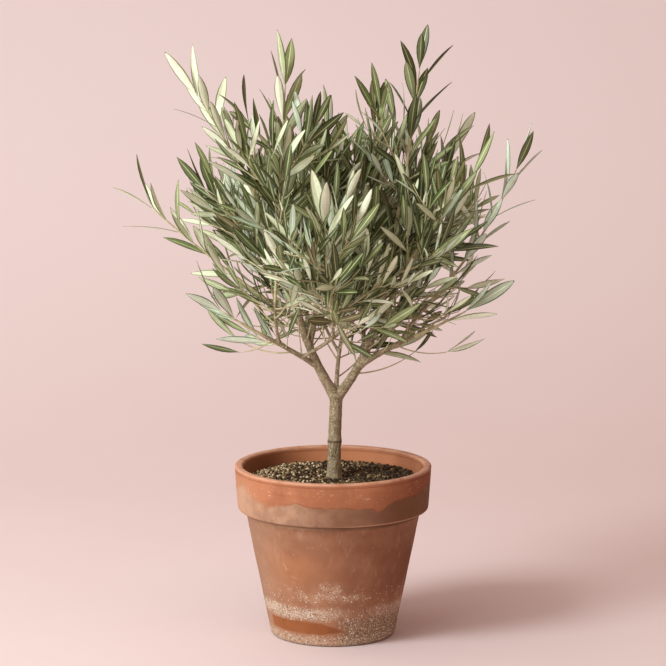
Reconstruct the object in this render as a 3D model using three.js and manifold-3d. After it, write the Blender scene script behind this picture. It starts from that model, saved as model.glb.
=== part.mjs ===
// A young olive tree growing in a clay pot, in millimetres, +Z up.
// The origin is the centre of the pot's underside, and the tree's front faces -Y.
// The tree is worked out from named sizes: limbs follow smooth courses, and each mass
// of foliage grows from its bough's tip by one seeded rule.
import * as THREE from "three";
import { ConvexGeometry } from "three/addons/geometries/ConvexGeometry.js";
import { mergeVertices } from "three/addons/utils/BufferGeometryUtils.js";
import Module from "manifold-3d";

const wasm = await Module();
wasm.setup();

const GAP = 0.3; // clearance between neighbouring solids

// ---------------------------------------------------------------- sizes of the pot

const POT = {
  height: 218,
  rimDepth: 56,
  floor: 12,
  outside: { lip: 125, rimFoot: 121, shoulder: 111.5, foot: 79 }, // radii
  inside: { lip: 115, shoulder: 104, floor: 69, drain: 12 },
  rounding: 3.5,
  sides: 36,
};

const SOIL = {
  centre: 200, // height of the flat spot that the trunk stands on
  shoulder: 203, // height of the low mound round it
  edge: 198,
  flatRadius: 16,
  moundRadius: 70,
  rings: [34, 52, 70, 88], // radii at which its uneven top has corners
};

// The low heaps that make the soil uneven: each one's bearing, distance from the middle, height and
// breadth.
const HEAPS = [
  [118, 46, 3.8, 22],
  [56, 44, 3.4, 22],
  [178, 62, 1.8, 18],
  [2, 64, 1.4, 18],
  [232, 56, 1.6, 18],
  [300, 56, 1.2, 18],
  [88, 80, 2.4, 20],
  [146, 84, 2.0, 18],
  [32, 84, 1.8, 18],
];

// ---------------------------------------------------------------- sizes of the tree

const TRUNK = {
  foot: [1.5, 0, SOIL.centre + GAP],
  heading: 0,
  rise: [90, 87], // it stands upright on its flat foot and leans a little by its fork
  length: 103,
  radius: [8.4, 7.9],
  flare: 2.2, // how much wider the foot is
  flareHeight: 16,
  knuckle: 0.9, // the raised ring of an old leaf joint
  knuckleHeight: 46,
  knuckleDepth: 4,
};

// Each bough leaves its parent at a distance along it. Heading is degrees round +Z from +X and
// rise is degrees above the horizon, and both go from the bough's root to its tip, as its radius does.
const BOUGHS = [
  // name, parent, at, heading, rise, length, radius
  ["bough_left", "trunk", 103, [187, 176], [57, 75], 118, [6.8, 4.2]],
  ["bough_right", "trunk", 103, [-5, 8], [50, 77], 118, [6.3, 4.6]],
  ["bough_centre", "trunk", 103, [95, 40], [88, 73], 98, [3.0, 2.0]],
  ["bough_centre_left", "bough_centre", 58, [155, 140], [52, 64], 46, [2.1, 1.7]],
  ["bough_low_left", "bough_left", 46, [207, 199], [33, 29], 84, [3.7, 2.4]],
  ["bough_crossing", "bough_low_left", 27, [-28, -8], [27, 46], 92, [2.5, 1.9]],
  ["bough_front", "bough_crossing", 50, [-84, -98], [34, 42], 46, [1.9, 1.6]],
  ["bough_front_left", "bough_low_left", 62, [246, 290], [58, 82], 62, [2.2, 1.8]],
  ["bough_left_inner", "bough_left", 76, [48, 80], [62, 80], 50, [3.8, 2.7]],
  ["bough_left_outer", "bough_left", 102, [181, 186], [38, 37], 60, [2.5, 1.9]],
  ["bough_back_left", "bough_left", 60, [105, 98], [44, 52], 74, [3.2, 2.2]],
  ["bough_rear_left", "bough_back_left", 36, [150, 138], [32, 42], 56, [2.3, 1.8]],
  ["bough_low_right", "bough_right", 50, [-20, -12], [34, 25], 84, [4.5, 2.6]],
  ["bough_right_outer", "bough_low_right", 62, [6, 4], [60, 47], 62, [2.7, 2.0]],
  ["bough_right_inner", "bough_right", 86, [38, 32], [48, 62], 54, [3.0, 2.2]],
  ["bough_back_right", "bough_right", 68, [98, 80], [44, 54], 68, [3.2, 2.2]],
  ["bough_rear_right", "bough_back_right", 34, [42, 46], [32, 42], 56, [2.3, 1.8]],
];

// Each mass of foliage carries on from its bough's tip as one stem, which ends at this heading
// and rise. Everything that grows from the stem keeps within its spread of it.
const FOLIAGE = [
  // name, bough, heading, rise, length, spread, side shoots
  ["foliage_far_left", "bough_left_outer", 184, 42, 178, 76, 0],
  ["foliage_upper_left", "bough_left", 178, 62, 300, 84, 3],
  ["foliage_front_left", "bough_front_left", 60, 84, 268, 88, 6],
  ["foliage_top_middle", "bough_left_inner", 40, 83, 236, 88, 8],
  ["foliage_top_right", "bough_right", 10, 84, 314, 88, 6],
  ["foliage_front_right", "bough_crossing", -14, 56, 226, 84, 5],
  ["foliage_far_right", "bough_right_outer", 4, 67, 200, 62, 0],
  ["foliage_low_left", "bough_low_left", 186, 34, 66, 92, 0],
  ["foliage_low_right", "bough_low_right", -10, 30, 72, 92, 1],
  ["foliage_front", "bough_front", -92, 72, 150, 88, 5],
  ["foliage_centre", "bough_centre", 60, 80, 240, 100, 9],
  ["foliage_right", "bough_right_inner", 22, 66, 196, 80, 5],
  ["foliage_back_left", "bough_centre_left", 112, 74, 232, 84, 6],
  ["foliage_back_middle", "bough_back_left", 90, 66, 190, 90, 6],
  ["foliage_back_right", "bough_back_right", 78, 72, 212, 84, 7],
  ["foliage_rear_left", "bough_rear_left", 116, 56, 156, 84, 5],
  ["foliage_rear_right", "bough_rear_right", 62, 56, 156, 84, 5],
];

const LIMB = {
  collar: 25, // how far the fork's own solid reaches into each limb that leaves it
  collarSlack: 1.5,
  thick: 4, // a limb with a greater radius has more sides
  sides: { trunk: 10, thick: 8, thin: 6 },
  step: { trunk: 9, bough: 24 }, // length of one straight piece of its solid
  courseStep: 8,
};

const RULE = {
  seed: 57,
  twigSides: 3,
  stemStep: 42, // length of one straight piece
  shootStep: 58,
  stemTipRadius: 1,
  shootRadius: [1.5, 0.9],
  shootZone: [0.04, 0.62], // the shares of a stem between which side shoots leave it
  shootShift: 0.7, // how much of their spacing is left to chance
  shootLength: [118, 62], // of a low side shoot and of a high one
  shootLengthRange: [0.8, 1.1],
  shootAngle: [60, 34], // from the stem, low and high
  shootAngleRange: [-8, 8],
  shootLift: [0.45, 0.8], // how strongly a side shoot turns up, low and high
  goldenAngle: 137.5,
  bearingRange: [0, 40],
  firstLeaf: 16, // bare length at the foot of a shoot
  lastLeaf: 1, // from the last pair to the shoot's end
  internode: 25, // between one pair of leaves and the next
  leafTurn: [-12, 12], // how far a leaf strays from its place round the shoot
  leafAngle: [26, 48],
  tipAngle: [12, 26], // of the last pair
  leafLift: 0.2,
  leafLength: [52, 70],
  leafWidth: 0.2, // share of the length
  leafThickness: 0.019, // at the root, as a share of the length
  widest: 0.46, // where along the leaf it is widest
  leafRoll: [-34, 34], // how far a leaf turns about its own midrib
  clearance: 1, // left between what grows
  probe: 8, // a twig or leaf is tested against the rest this often along it
  clearOfStem: 6, // a side shoot is tested from here on
};

const COLOURS = {
  clay: { color: 0xb0714e, roughness: 0.9, metalness: 0 },
  grit: { color: 0x6b6048, roughness: 1, metalness: 0 },
  bark: { color: 0x85765c, roughness: 0.9, metalness: 0 },
  leaf: { color: 0x7c8c63, roughness: 0.6, metalness: 0 },
};

// ---------------------------------------------------------------- solids and meshes

// A closed three.js geometry as a solid that can be joined and cut.
function solidOf(geometry) {
  const bare = geometry.clone();
  bare.deleteAttribute("normal");
  bare.deleteAttribute("uv");
  const merged = mergeVertices(bare, 1e-4);
  const mesh = new wasm.Mesh({
    numProp: 3,
    vertProperties: merged.attributes.position.array,
    triVerts: new Uint32Array(merged.index.array),
  });
  return new wasm.Manifold(mesh);
}

function geometryOf(solid) {
  const mesh = solid.getMesh();
  const geometry = new THREE.BufferGeometry();
  geometry.setAttribute("position", new THREE.BufferAttribute(mesh.vertProperties, 3));
  geometry.setIndex(new THREE.BufferAttribute(mesh.triVerts, 1));
  const faceted = geometry.toNonIndexed();
  faceted.computeVertexNormals();
  return faceted;
}

function meshOf(name, geometry, colour) {
  const mesh = new THREE.Mesh(geometry, new THREE.MeshStandardMaterial(COLOURS[colour]));
  mesh.name = name;
  return mesh;
}

// ---------------------------------------------------------------- courses and tubes

function aim(heading, rise) {
  const round = THREE.MathUtils.degToRad(heading);
  const up = THREE.MathUtils.degToRad(rise);
  return new THREE.Vector3(Math.cos(up) * Math.cos(round), Math.cos(up) * Math.sin(round), Math.sin(up));
}

// Stations {at, along} of a limb that turns evenly from its first direction to its last.
function course(start, first, last, length, step) {
  const count = Math.max(2, Math.round(length / step));
  const stations = [{ at: start.clone(), along: first.clone() }];
  for (let i = 1; i <= count; i++) {
    const before = stations[i - 1];
    const along = first.clone().lerp(last, i / count).normalize();
    const chord = before.along.clone().add(along).normalize();
    stations.push({ at: before.at.clone().addScaledVector(chord, length / count), along });
  }
  return stations;
}

// The station at a distance along a course.
function stationAt(stations, length, distance) {
  const place = THREE.MathUtils.clamp(distance / length, 0, 1) * (stations.length - 1);
  const index = Math.min(Math.floor(place), stations.length - 2);
  const share = place - index;
  const [a, b] = [stations[index], stations[index + 1]];
  return {
    at: a.at.clone().lerp(b.at, share),
    along: a.along.clone().lerp(b.along, share).normalize(),
  };
}

// The stations between two distances, both ends included.
function stretch(stations, length, from, to, step) {
  const count = Math.max(1, Math.round((to - from) / step));
  const distances = Array.from({ length: count + 1 }, (_, i) => from + ((to - from) * i) / count);
  return distances.map((distance) => stationAt(stations, length, distance));
}

function anySquareTo(direction) {
  const other = Math.abs(direction.x) < 0.8 ? new THREE.Vector3(1, 0, 0) : new THREE.Vector3(0, 1, 0);
  return other.addScaledVector(direction, -other.dot(direction)).normalize();
}

// A closed cylinder bent along the stations. radiusAt gives the radius at a share of its length.
function tube(stations, radiusAt, sides) {
  const rings = stations.length - 1;
  const geometry = new THREE.CylinderGeometry(1, 1, 1, sides, rings);
  const across = [anySquareTo(stations[0].along)];
  for (let i = 1; i <= rings; i++) {
    const along = stations[i].along;
    across.push(across[i - 1].clone().addScaledVector(along, -across[i - 1].dot(along)).normalize());
  }
  const position = geometry.attributes.position;
  const point = new THREE.Vector3();
  for (let v = 0; v < position.count; v++) {
    point.fromBufferAttribute(position, v);
    const ring = Math.round((point.y + 0.5) * rings);
    const { at, along } = stations[ring];
    const over = across[ring].clone().cross(along);
    const radius = radiusAt(ring / rings);
    const placed = at.clone().addScaledVector(across[ring], point.x * radius);
    placed.addScaledVector(over, point.z * radius);
    position.setXYZ(v, placed.x, placed.y, placed.z);
  }
  return geometry;
}

// ---------------------------------------------------------------- pot and soil

const OUT = new THREE.Vector2(1, 0);
const IN = new THREE.Vector2(-1, 0);
const UP = new THREE.Vector2(0, 1);
const DOWN = new THREE.Vector2(0, -1);

// The pot's rounded edge at a corner of its profile, from one direction to the next.
function rounded(radius, height, arriving, leaving, steps = 2) {
  const r = POT.rounding;
  const centre = new THREE.Vector2(radius, height).addScaledVector(arriving, -r).addScaledVector(leaving, r);
  return Array.from({ length: steps + 1 }, (_, i) => {
    const turn = (Math.PI / 2) * (i / steps);
    const point = centre.clone().addScaledVector(leaving, -r * Math.cos(turn));
    return point.addScaledVector(arriving, r * Math.sin(turn));
  });
}

// A profile of radius and height turned about +Z.
function turned(profile) {
  return new THREE.LatheGeometry(profile, POT.sides).rotateX(Math.PI / 2);
}

// The pot's inside radius at a height.
function insideRadius(z) {
  const { mapLinear } = THREE.MathUtils;
  const shoulder = POT.height - POT.rimDepth;
  if (z < shoulder) return mapLinear(z, POT.floor, shoulder, POT.inside.floor, POT.inside.shoulder);
  return mapLinear(z, shoulder, POT.height, POT.inside.shoulder, POT.inside.lip);
}

function pot() {
  const { height, floor, outside, inside } = POT;
  const rimFoot = height - POT.rimDepth;
  const profile = [
    new THREE.Vector2(inside.drain, 0),
    ...rounded(outside.foot, 0, OUT, UP),
    new THREE.Vector2(outside.shoulder, rimFoot),
    ...rounded(outside.rimFoot, rimFoot, OUT, UP),
    ...rounded(outside.lip, height, UP, IN),
    ...rounded(inside.lip, height, IN, DOWN),
    new THREE.Vector2(inside.shoulder, rimFoot),
    new THREE.Vector2(inside.floor, floor),
    new THREE.Vector2(inside.drain, floor),
  ];
  profile.push(profile[0].clone());
  return turned(profile);
}

// The soil's height at a place: a dished mound that the heaps rise from.
function soilTop(x, y, wall) {
  const { centre, shoulder, edge, flatRadius, moundRadius } = SOIL;
  const { clamp, lerp } = THREE.MathUtils;
  const away = Math.hypot(x, y);
  const climb = clamp((away - flatRadius) / (moundRadius - flatRadius), 0, 1);
  const fall = clamp((away - moundRadius) / (wall - moundRadius), 0, 1);
  const rise = HEAPS.reduce((sum, [bearing, distance, height, breadth]) => {
    const round = THREE.MathUtils.degToRad(bearing);
    const off = Math.hypot(x - distance * Math.cos(round), y - distance * Math.sin(round));
    return sum + height * Math.exp(-((off / breadth) ** 2));
  }, 0);
  return lerp(lerp(centre, shoulder, climb), edge, fall) + rise * Math.min(1, 3 * climb) * (1 - fall);
}

function soil() {
  const slack = GAP / Math.cos(Math.PI / POT.sides) + 0.1; // the wall's flats come nearer than its corners
  const base = POT.floor + GAP;
  const shoulder = POT.height - POT.rimDepth;
  const besideWall = (z) => new THREE.Vector2(insideRadius(z) - slack, z);
  const wall = besideWall(SOIL.edge).x;
  const bed = turned([
    new THREE.Vector2(0, base),
    ...[base, shoulder, SOIL.edge].map(besideWall),
    ...SOIL.rings.toReversed().map((radius) => new THREE.Vector2(radius, SOIL.centre)),
    new THREE.Vector2(SOIL.flatRadius, SOIL.centre),
    new THREE.Vector2(0, SOIL.centre),
  ]);
  const position = bed.attributes.position;
  for (let v = 0; v < position.count; v++) {
    if (position.getZ(v) < SOIL.centre) continue;
    position.setZ(v, soilTop(position.getX(v), position.getY(v), wall));
  }
  return bed;
}

// ---------------------------------------------------------------- limbs

const limbs = new Map();

function trunkRadius(distance) {
  const { radius, length, flare, flareHeight, knuckle, knuckleHeight, knuckleDepth } = TRUNK;
  const taper = THREE.MathUtils.lerp(radius[0], radius[1], distance / length);
  const foot = flare * Math.exp((-2 * distance) / flareHeight);
  const ring = knuckle * Math.exp(-(((distance - knuckleHeight) / knuckleDepth) ** 2));
  return taper + foot + ring;
}

// A limb from its root, with the two ends of its own solid. Collars lists the boughs that leave it.
function addLimb(name, start, heading, rise, length, radius) {
  const stations = course(start, aim(heading[0], rise[0]), aim(heading[1], rise[1]), length, LIMB.courseStep);
  const limb = { name, stations, length, radius, from: 0, collars: [] };
  limb.radiusAt = (distance) => THREE.MathUtils.lerp(radius[0], radius[1], distance / length);
  limb.sides = radius[0] > LIMB.thick ? LIMB.sides.thick : LIMB.sides.thin;
  limb.step = LIMB.step.bough;
  limbs.set(name, limb);
  return limb;
}

// How far a bough lies in its parent's solid, so that its own solid starts clear of it.
function collarLength(parent, at, child) {
  if (parent.name === "trunk") return LIMB.collar;
  const angle = stationAt(parent.stations, parent.length, at).along.angleTo(child.stations[0].along);
  const across = parent.radiusAt(at) + GAP + child.radius[0] * Math.cos(angle);
  return across / Math.sin(angle) + LIMB.collarSlack;
}

function layOutLimbs() {
  const { foot, heading, rise, length, radius } = TRUNK;
  const trunk = addLimb("trunk", new THREE.Vector3(...foot), [heading, heading], rise, length, radius);
  Object.assign(trunk, { radiusAt: trunkRadius, sides: LIMB.sides.trunk, step: LIMB.step.trunk });
  for (const [name, parentName, at, ...shape] of BOUGHS) {
    const parent = limbs.get(parentName);
    const root = stationAt(parent.stations, parent.length, at);
    const limb = addLimb(name, root.at, ...shape);
    const collar = collarLength(parent, at, limb);
    limb.from = collar + GAP;
    parent.collars.push({ child: limb, to: collar });
  }
}

function limbTube(limb, from, to) {
  const stations = stretch(limb.stations, limb.length, from, to, limb.step);
  return solidOf(tube(stations, (share) => limb.radiusAt(from + (to - from) * share), limb.sides));
}

// A limb with the collars of the boughs that leave it.
function limbSolid(limb) {
  const own = limbTube(limb, limb.from, limb.length);
  const collars = limb.collars.map(({ child, to }) => limbTube(child, 0, to));
  return wasm.Manifold.union([own, ...collars]);
}

// ---------------------------------------------------------------- growing the foliage

// Mulberry32, a small seeded generator of numbers from 0 to 1.
function dice(seed) {
  let state = seed >>> 0;
  return () => {
    state = (state + 0x6d2b79f5) >>> 0;
    let t = Math.imul(state ^ (state >>> 15), state | 1);
    t ^= t + Math.imul(t ^ (t >>> 7), t | 61);
    return ((t ^ (t >>> 14)) >>> 0) / 4294967296;
  };
}

const between = ([low, high], share) => low + (high - low) * share;

// What already grows: straight pieces from a to b, each with its breadth and its shoot.
const occupied = [];

function occupy(a, b, breadth, shoot) {
  occupied.push({ a, b, breadth, shoot });
}

// How far a point is from the straight piece from a to b, and at which share of its length.
function nearest(point, a, b) {
  const ab = b.clone().sub(a);
  const share = THREE.MathUtils.clamp(point.clone().sub(a).dot(ab) / ab.lengthSq(), 0, 1);
  return { share, distance: point.distanceTo(a.clone().addScaledVector(ab, share)) };
}

// A leaf's half width at a share of its length.
function halfWidth(width, share) {
  const towardsEnd = share < RULE.widest ? share / RULE.widest : (1 - share) / (1 - RULE.widest);
  return (width / 2) * towardsEnd;
}

// Whether a point with that breadth round it comes against anything but its own shoot.
function touches(point, breadth, shoot) {
  return occupied.some((o) => {
    if (o.shoot === shoot) return false;
    const { share, distance } = nearest(point, o.a, o.b);
    return distance < breadth + o.breadth(share) + RULE.clearance;
  });
}

function leavesSpace(point, mass) {
  const stem = mass.shoots[0].stations;
  return !stem.slice(1).some((s, i) => nearest(point, stem[i].at, s.at).distance < mass.spread);
}

function addShoot(mass, stations, length, radius) {
  const shoot = { stations, length, radius, leaves: [] };
  mass.shoots.push(shoot);
  stations.slice(1).forEach((s, i) => occupy(stations[i].at, s.at, () => radius[0], shoot));
}

function growStem(mass) {
  const bough = limbs.get(mass.bough);
  const tip = bough.stations.at(-1);
  const start = tip.at.clone().addScaledVector(tip.along, GAP);
  const stations = course(start, tip.along, aim(mass.heading, mass.rise), mass.length, RULE.stemStep);
  addShoot(mass, stations, mass.length, [bough.radius[1], RULE.stemTipRadius]);
}

// A direction that leans from along by an angle, towards a bearing round it.
function leaning(along, angle, bearing) {
  const side = anySquareTo(along).applyAxisAngle(along, THREE.MathUtils.degToRad(bearing));
  const lean = THREE.MathUtils.degToRad(angle);
  return along.clone().multiplyScalar(Math.cos(lean)).addScaledVector(side, Math.sin(lean));
}

function growSideShoots(mass) {
  const { roll } = mass;
  const stem = mass.shoots[0];
  const count = mass.sideShoots;
  for (let i = 0; i < count; i++) {
    const share = between(RULE.shootZone, (i + RULE.shootShift * roll()) / count);
    const bearing = RULE.goldenAngle * i + between(RULE.bearingRange, roll());
    const angle = between(RULE.shootAngle, share) + between(RULE.shootAngleRange, roll());
    const length = between(RULE.shootLength, share) * between(RULE.shootLengthRange, roll());
    const root = stationAt(stem.stations, stem.length, share * stem.length);
    const first = leaning(root.along, angle, bearing);
    const last = first.clone();
    last.z += between(RULE.shootLift, share);
    const stations = course(root.at, first, last.normalize(), length, RULE.shootStep);
    const points = stretch(stations, length, RULE.clearOfStem, length, RULE.probe).map((s) => s.at);
    if (points.some((p) => touches(p, RULE.shootRadius[0], stem) || leavesSpace(p, mass))) continue;
    addShoot(mass, stations, length, RULE.shootRadius);
  }
}

// The leaf's midrib runs from its root in this direction, and its upper face looks along face.
function growLeaf(mass, shoot, station, angle, bearing) {
  const { roll } = mass;
  const direction = leaning(station.along, angle, bearing);
  direction.z += RULE.leafLift;
  direction.normalize();
  const length = between(RULE.leafLength, roll());
  const face = station.along.clone().addScaledVector(direction, -station.along.dot(direction)).normalize();
  face.applyAxisAngle(direction, THREE.MathUtils.degToRad(between(RULE.leafRoll, roll())));
  const width = length * RULE.leafWidth;
  const pointAt = (share) => station.at.clone().addScaledVector(direction, length * share);
  if (leavesSpace(pointAt(1), mass)) return;
  for (let along = RULE.probe / 2; along < length; along += RULE.probe) {
    const share = along / length;
    if (touches(pointAt(share), halfWidth(width, share), shoot)) return;
  }
  shoot.leaves.push({ root: station.at, direction, face, length, width });
  occupy(pointAt(0), pointAt(1), (share) => halfWidth(width, share), shoot);
}

// Leaves stand in pairs, each pair square to the one before, and a close pair ends the shoot.
function growLeaves(mass, shoot) {
  const { roll } = mass;
  const leafy = shoot.length - RULE.firstLeaf - RULE.lastLeaf;
  const last = Math.max(2, Math.floor(leafy / RULE.internode));
  const turn = 90 * roll();
  for (let i = 0; i <= last; i++) {
    const station = stationAt(shoot.stations, shoot.length, RULE.firstLeaf + (leafy * i) / last);
    const angles = i === last ? RULE.tipAngle : RULE.leafAngle;
    for (const side of [0, 180]) {
      const bearing = turn + 90 * i + side + between(RULE.leafTurn, roll());
      growLeaf(mass, shoot, station, between(angles, roll()), bearing);
    }
  }
}

function growFoliage() {
  for (const limb of limbs.values()) {
    limb.stations.slice(1).forEach((s, i) => occupy(limb.stations[i].at, s.at, () => limb.radius[0], null));
  }
  const masses = FOLIAGE.map(([name, bough, heading, rise, length, spread, sideShoots], i) => {
    const roll = dice(RULE.seed + i);
    return { name, bough, heading, rise, length, spread, sideShoots, shoots: [], roll };
  });
  masses.forEach(growStem);
  masses.forEach(growSideShoots);
  masses.forEach((mass) => mass.shoots.forEach((shoot) => growLeaves(mass, shoot)));
  return masses;
}

// A six-faced blade: an upright edge at its root, an edge on each side, and a point at its tip.
function leafSolid({ root, direction, face, length, width }) {
  const across = direction.clone().cross(face);
  const place = (share, side, lift) => {
    const onMidrib = root.clone().addScaledVector(direction, share * length);
    return onMidrib.addScaledVector(across, side).addScaledVector(face, lift);
  };
  const half = (RULE.leafThickness * length) / 2;
  return solidOf(
    new ConvexGeometry([
      place(0, 0, half),
      place(0, 0, -half),
      place(RULE.widest, width / 2, 0),
      place(RULE.widest, -width / 2, 0),
      place(1, 0, 0),
    ]),
  );
}

function massSolid(mass) {
  const twigs = mass.shoots.map(({ stations, radius }) =>
    solidOf(tube(stations, (share) => between(radius, share), RULE.twigSides)),
  );
  const leaves = mass.shoots.flatMap((shoot) => shoot.leaves.map(leafSolid));
  return wasm.Manifold.union([...twigs, ...leaves]);
}

// ---------------------------------------------------------------- assembly

const tree = new THREE.Group();
tree.name = "potted_olive_tree";
tree.add(meshOf("pot", pot(), "clay"));
tree.add(meshOf("soil", soil(), "grit"));

layOutLimbs();
for (const limb of limbs.values()) {
  tree.add(meshOf(limb.name, geometryOf(limbSolid(limb)), "bark"));
}
for (const mass of growFoliage()) {
  tree.add(meshOf(mass.name, geometryOf(massSolid(mass)), "leaf"));
}

export default tree;
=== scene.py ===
import math

import bpy
import numpy as np
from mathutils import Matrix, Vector, kdtree, noise


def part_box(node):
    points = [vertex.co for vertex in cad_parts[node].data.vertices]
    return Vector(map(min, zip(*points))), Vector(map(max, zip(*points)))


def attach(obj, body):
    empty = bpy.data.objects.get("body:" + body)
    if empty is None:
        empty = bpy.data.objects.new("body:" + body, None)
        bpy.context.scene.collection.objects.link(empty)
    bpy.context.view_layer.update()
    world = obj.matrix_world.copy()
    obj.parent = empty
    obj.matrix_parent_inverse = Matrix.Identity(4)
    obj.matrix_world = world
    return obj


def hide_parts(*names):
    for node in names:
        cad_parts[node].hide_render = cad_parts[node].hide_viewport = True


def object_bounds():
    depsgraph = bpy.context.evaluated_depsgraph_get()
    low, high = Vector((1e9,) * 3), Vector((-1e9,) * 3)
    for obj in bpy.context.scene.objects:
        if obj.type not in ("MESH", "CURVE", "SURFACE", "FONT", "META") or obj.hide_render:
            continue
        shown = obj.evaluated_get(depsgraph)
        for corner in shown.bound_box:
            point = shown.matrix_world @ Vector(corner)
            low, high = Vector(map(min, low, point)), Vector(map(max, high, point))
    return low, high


# A young olive tree in a weathered clay pot. Sizes are in millimetres until a mesh is made.
# The tree's front faces -Y and the pot stands on Z = 0.

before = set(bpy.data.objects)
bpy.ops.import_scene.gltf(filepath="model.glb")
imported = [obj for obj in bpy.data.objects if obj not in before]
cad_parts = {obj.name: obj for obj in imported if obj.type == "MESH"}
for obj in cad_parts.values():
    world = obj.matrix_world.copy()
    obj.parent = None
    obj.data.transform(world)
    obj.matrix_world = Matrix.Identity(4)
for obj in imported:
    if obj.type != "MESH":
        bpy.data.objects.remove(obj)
cad_low, cad_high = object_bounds()

MM = 0.001

# ---------------------------------------------------------------- sizes of the pot and its soil

POT_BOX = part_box("pot")
LIP = POT_BOX[1].x / MM  # outer radius at the top
POT_HEIGHT = POT_BOX[1].z / MM
RIM_DEPTH = 56
RIM_FOOT = POT_HEIGHT - RIM_DEPTH
POT = {
    "rim_foot": LIP - 4,  # outer radii below the lip
    "shoulder": LIP - 13.5,
    "foot": LIP - 46,
    "inner_lip": LIP - 10,
    "inner_shoulder": LIP - 21,
    "inner_floor": LIP - 56,
    "drain": 12,
    "floor": 12,
    "rounding": 3.5,
    "sides": 264,
    "point_step": 1.7,  # along the wall's outline
    "corner_steps": 6,
}
GROOVES = [  # height below the lip, depth, half height: the lines that a throwing rib leaves
    (5.5, 0.65, 0.9),
    (9.0, 0.25, 0.7),
    (52.0, 0.3, 0.8),
]

SOIL = {"centre": 200, "shoulder": 203, "edge": 198, "flat": 16, "mound": 70, "skirt": 14}
BED = {"sunk": 3.0, "gap": 0.6, "rings": 40, "sides": 96}  # the soil that shows between the grains
HEAPS = [  # bearing, distance from the middle, height, breadth
    (118, 46, 3.8, 22),
    (56, 44, 3.4, 22),
    (178, 62, 1.8, 18),
    (2, 64, 1.4, 18),
    (232, 56, 1.6, 18),
    (300, 56, 1.2, 18),
    (88, 80, 2.4, 20),
    (146, 84, 2.0, 18),
    (32, 84, 1.8, 18),
]
GRIT = {
    "spacing": 3.15,
    "row": 0.87,  # from row to row, as a share of the spacing
    "stray": (-0.32, 0.32),  # from its place in the row, as a share of the spacing
    "radius": (1.45, 2.1),
    "depth": (-2.4, -0.4),  # of a grain's middle against the mound
    "loose": 0.26,  # the share of grains with another grain on top
    "loose_lift": 1.5,
    "edge_gap": 1.8,
    "trunk_gap": 1.5,
    "seed": 11,
}

# ---------------------------------------------------------------- sizes of the tree

GAP = 0.3
TRUNK = {
    "foot": (1.5, 0, SOIL["centre"] + GAP),
    "rise": (90, 87),
    "length": 103,
    "radius": (8.4, 7.9),
    "flare": 2.2,
    "flare_height": 16,
    "knuckle": 0.9,
    "knuckle_height": 46,
    "knuckle_depth": 4,
}

# Each bough leaves its parent at a distance along it. Heading is degrees round +Z from +X and rise
# is degrees above the horizon. Both go from the bough's root to its tip, as its radius does.
BOUGHS = [
    # name, parent, at, heading, rise, length, radius
    ("bough_left", "trunk", 103, (187, 176), (57, 75), 118, (6.8, 4.2)),
    ("bough_right", "trunk", 103, (-5, 8), (50, 77), 118, (6.3, 4.6)),
    ("bough_centre", "trunk", 103, (95, 40), (88, 73), 98, (3.0, 2.0)),
    ("bough_centre_left", "bough_centre", 58, (155, 140), (52, 64), 46, (2.1, 1.7)),
    ("bough_low_left", "bough_left", 46, (207, 199), (33, 29), 84, (3.7, 2.4)),
    ("bough_crossing", "bough_low_left", 27, (-28, -8), (27, 46), 92, (2.5, 1.9)),
    ("bough_front", "bough_crossing", 50, (-84, -98), (34, 42), 46, (1.9, 1.6)),
    ("bough_front_left", "bough_low_left", 62, (246, 290), (58, 82), 62, (2.2, 1.8)),
    ("bough_left_inner", "bough_left", 76, (48, 80), (62, 80), 50, (3.8, 2.7)),
    ("bough_left_outer", "bough_left", 102, (181, 186), (38, 37), 60, (2.5, 1.9)),
    ("bough_back_left", "bough_left", 60, (105, 98), (44, 52), 74, (3.2, 2.2)),
    ("bough_rear_left", "bough_back_left", 36, (150, 138), (32, 42), 56, (2.3, 1.8)),
    ("bough_low_right", "bough_right", 50, (-20, -12), (34, 25), 84, (4.5, 2.6)),
    ("bough_right_outer", "bough_low_right", 62, (6, 4), (60, 47), 62, (2.7, 2.0)),
    ("bough_right_inner", "bough_right", 86, (38, 32), (48, 62), 54, (3.0, 2.2)),
    ("bough_back_right", "bough_right", 68, (98, 80), (44, 54), 68, (3.2, 2.2)),
    ("bough_rear_right", "bough_back_right", 34, (42, 46), (32, 42), 56, (2.3, 1.8)),
]

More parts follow.
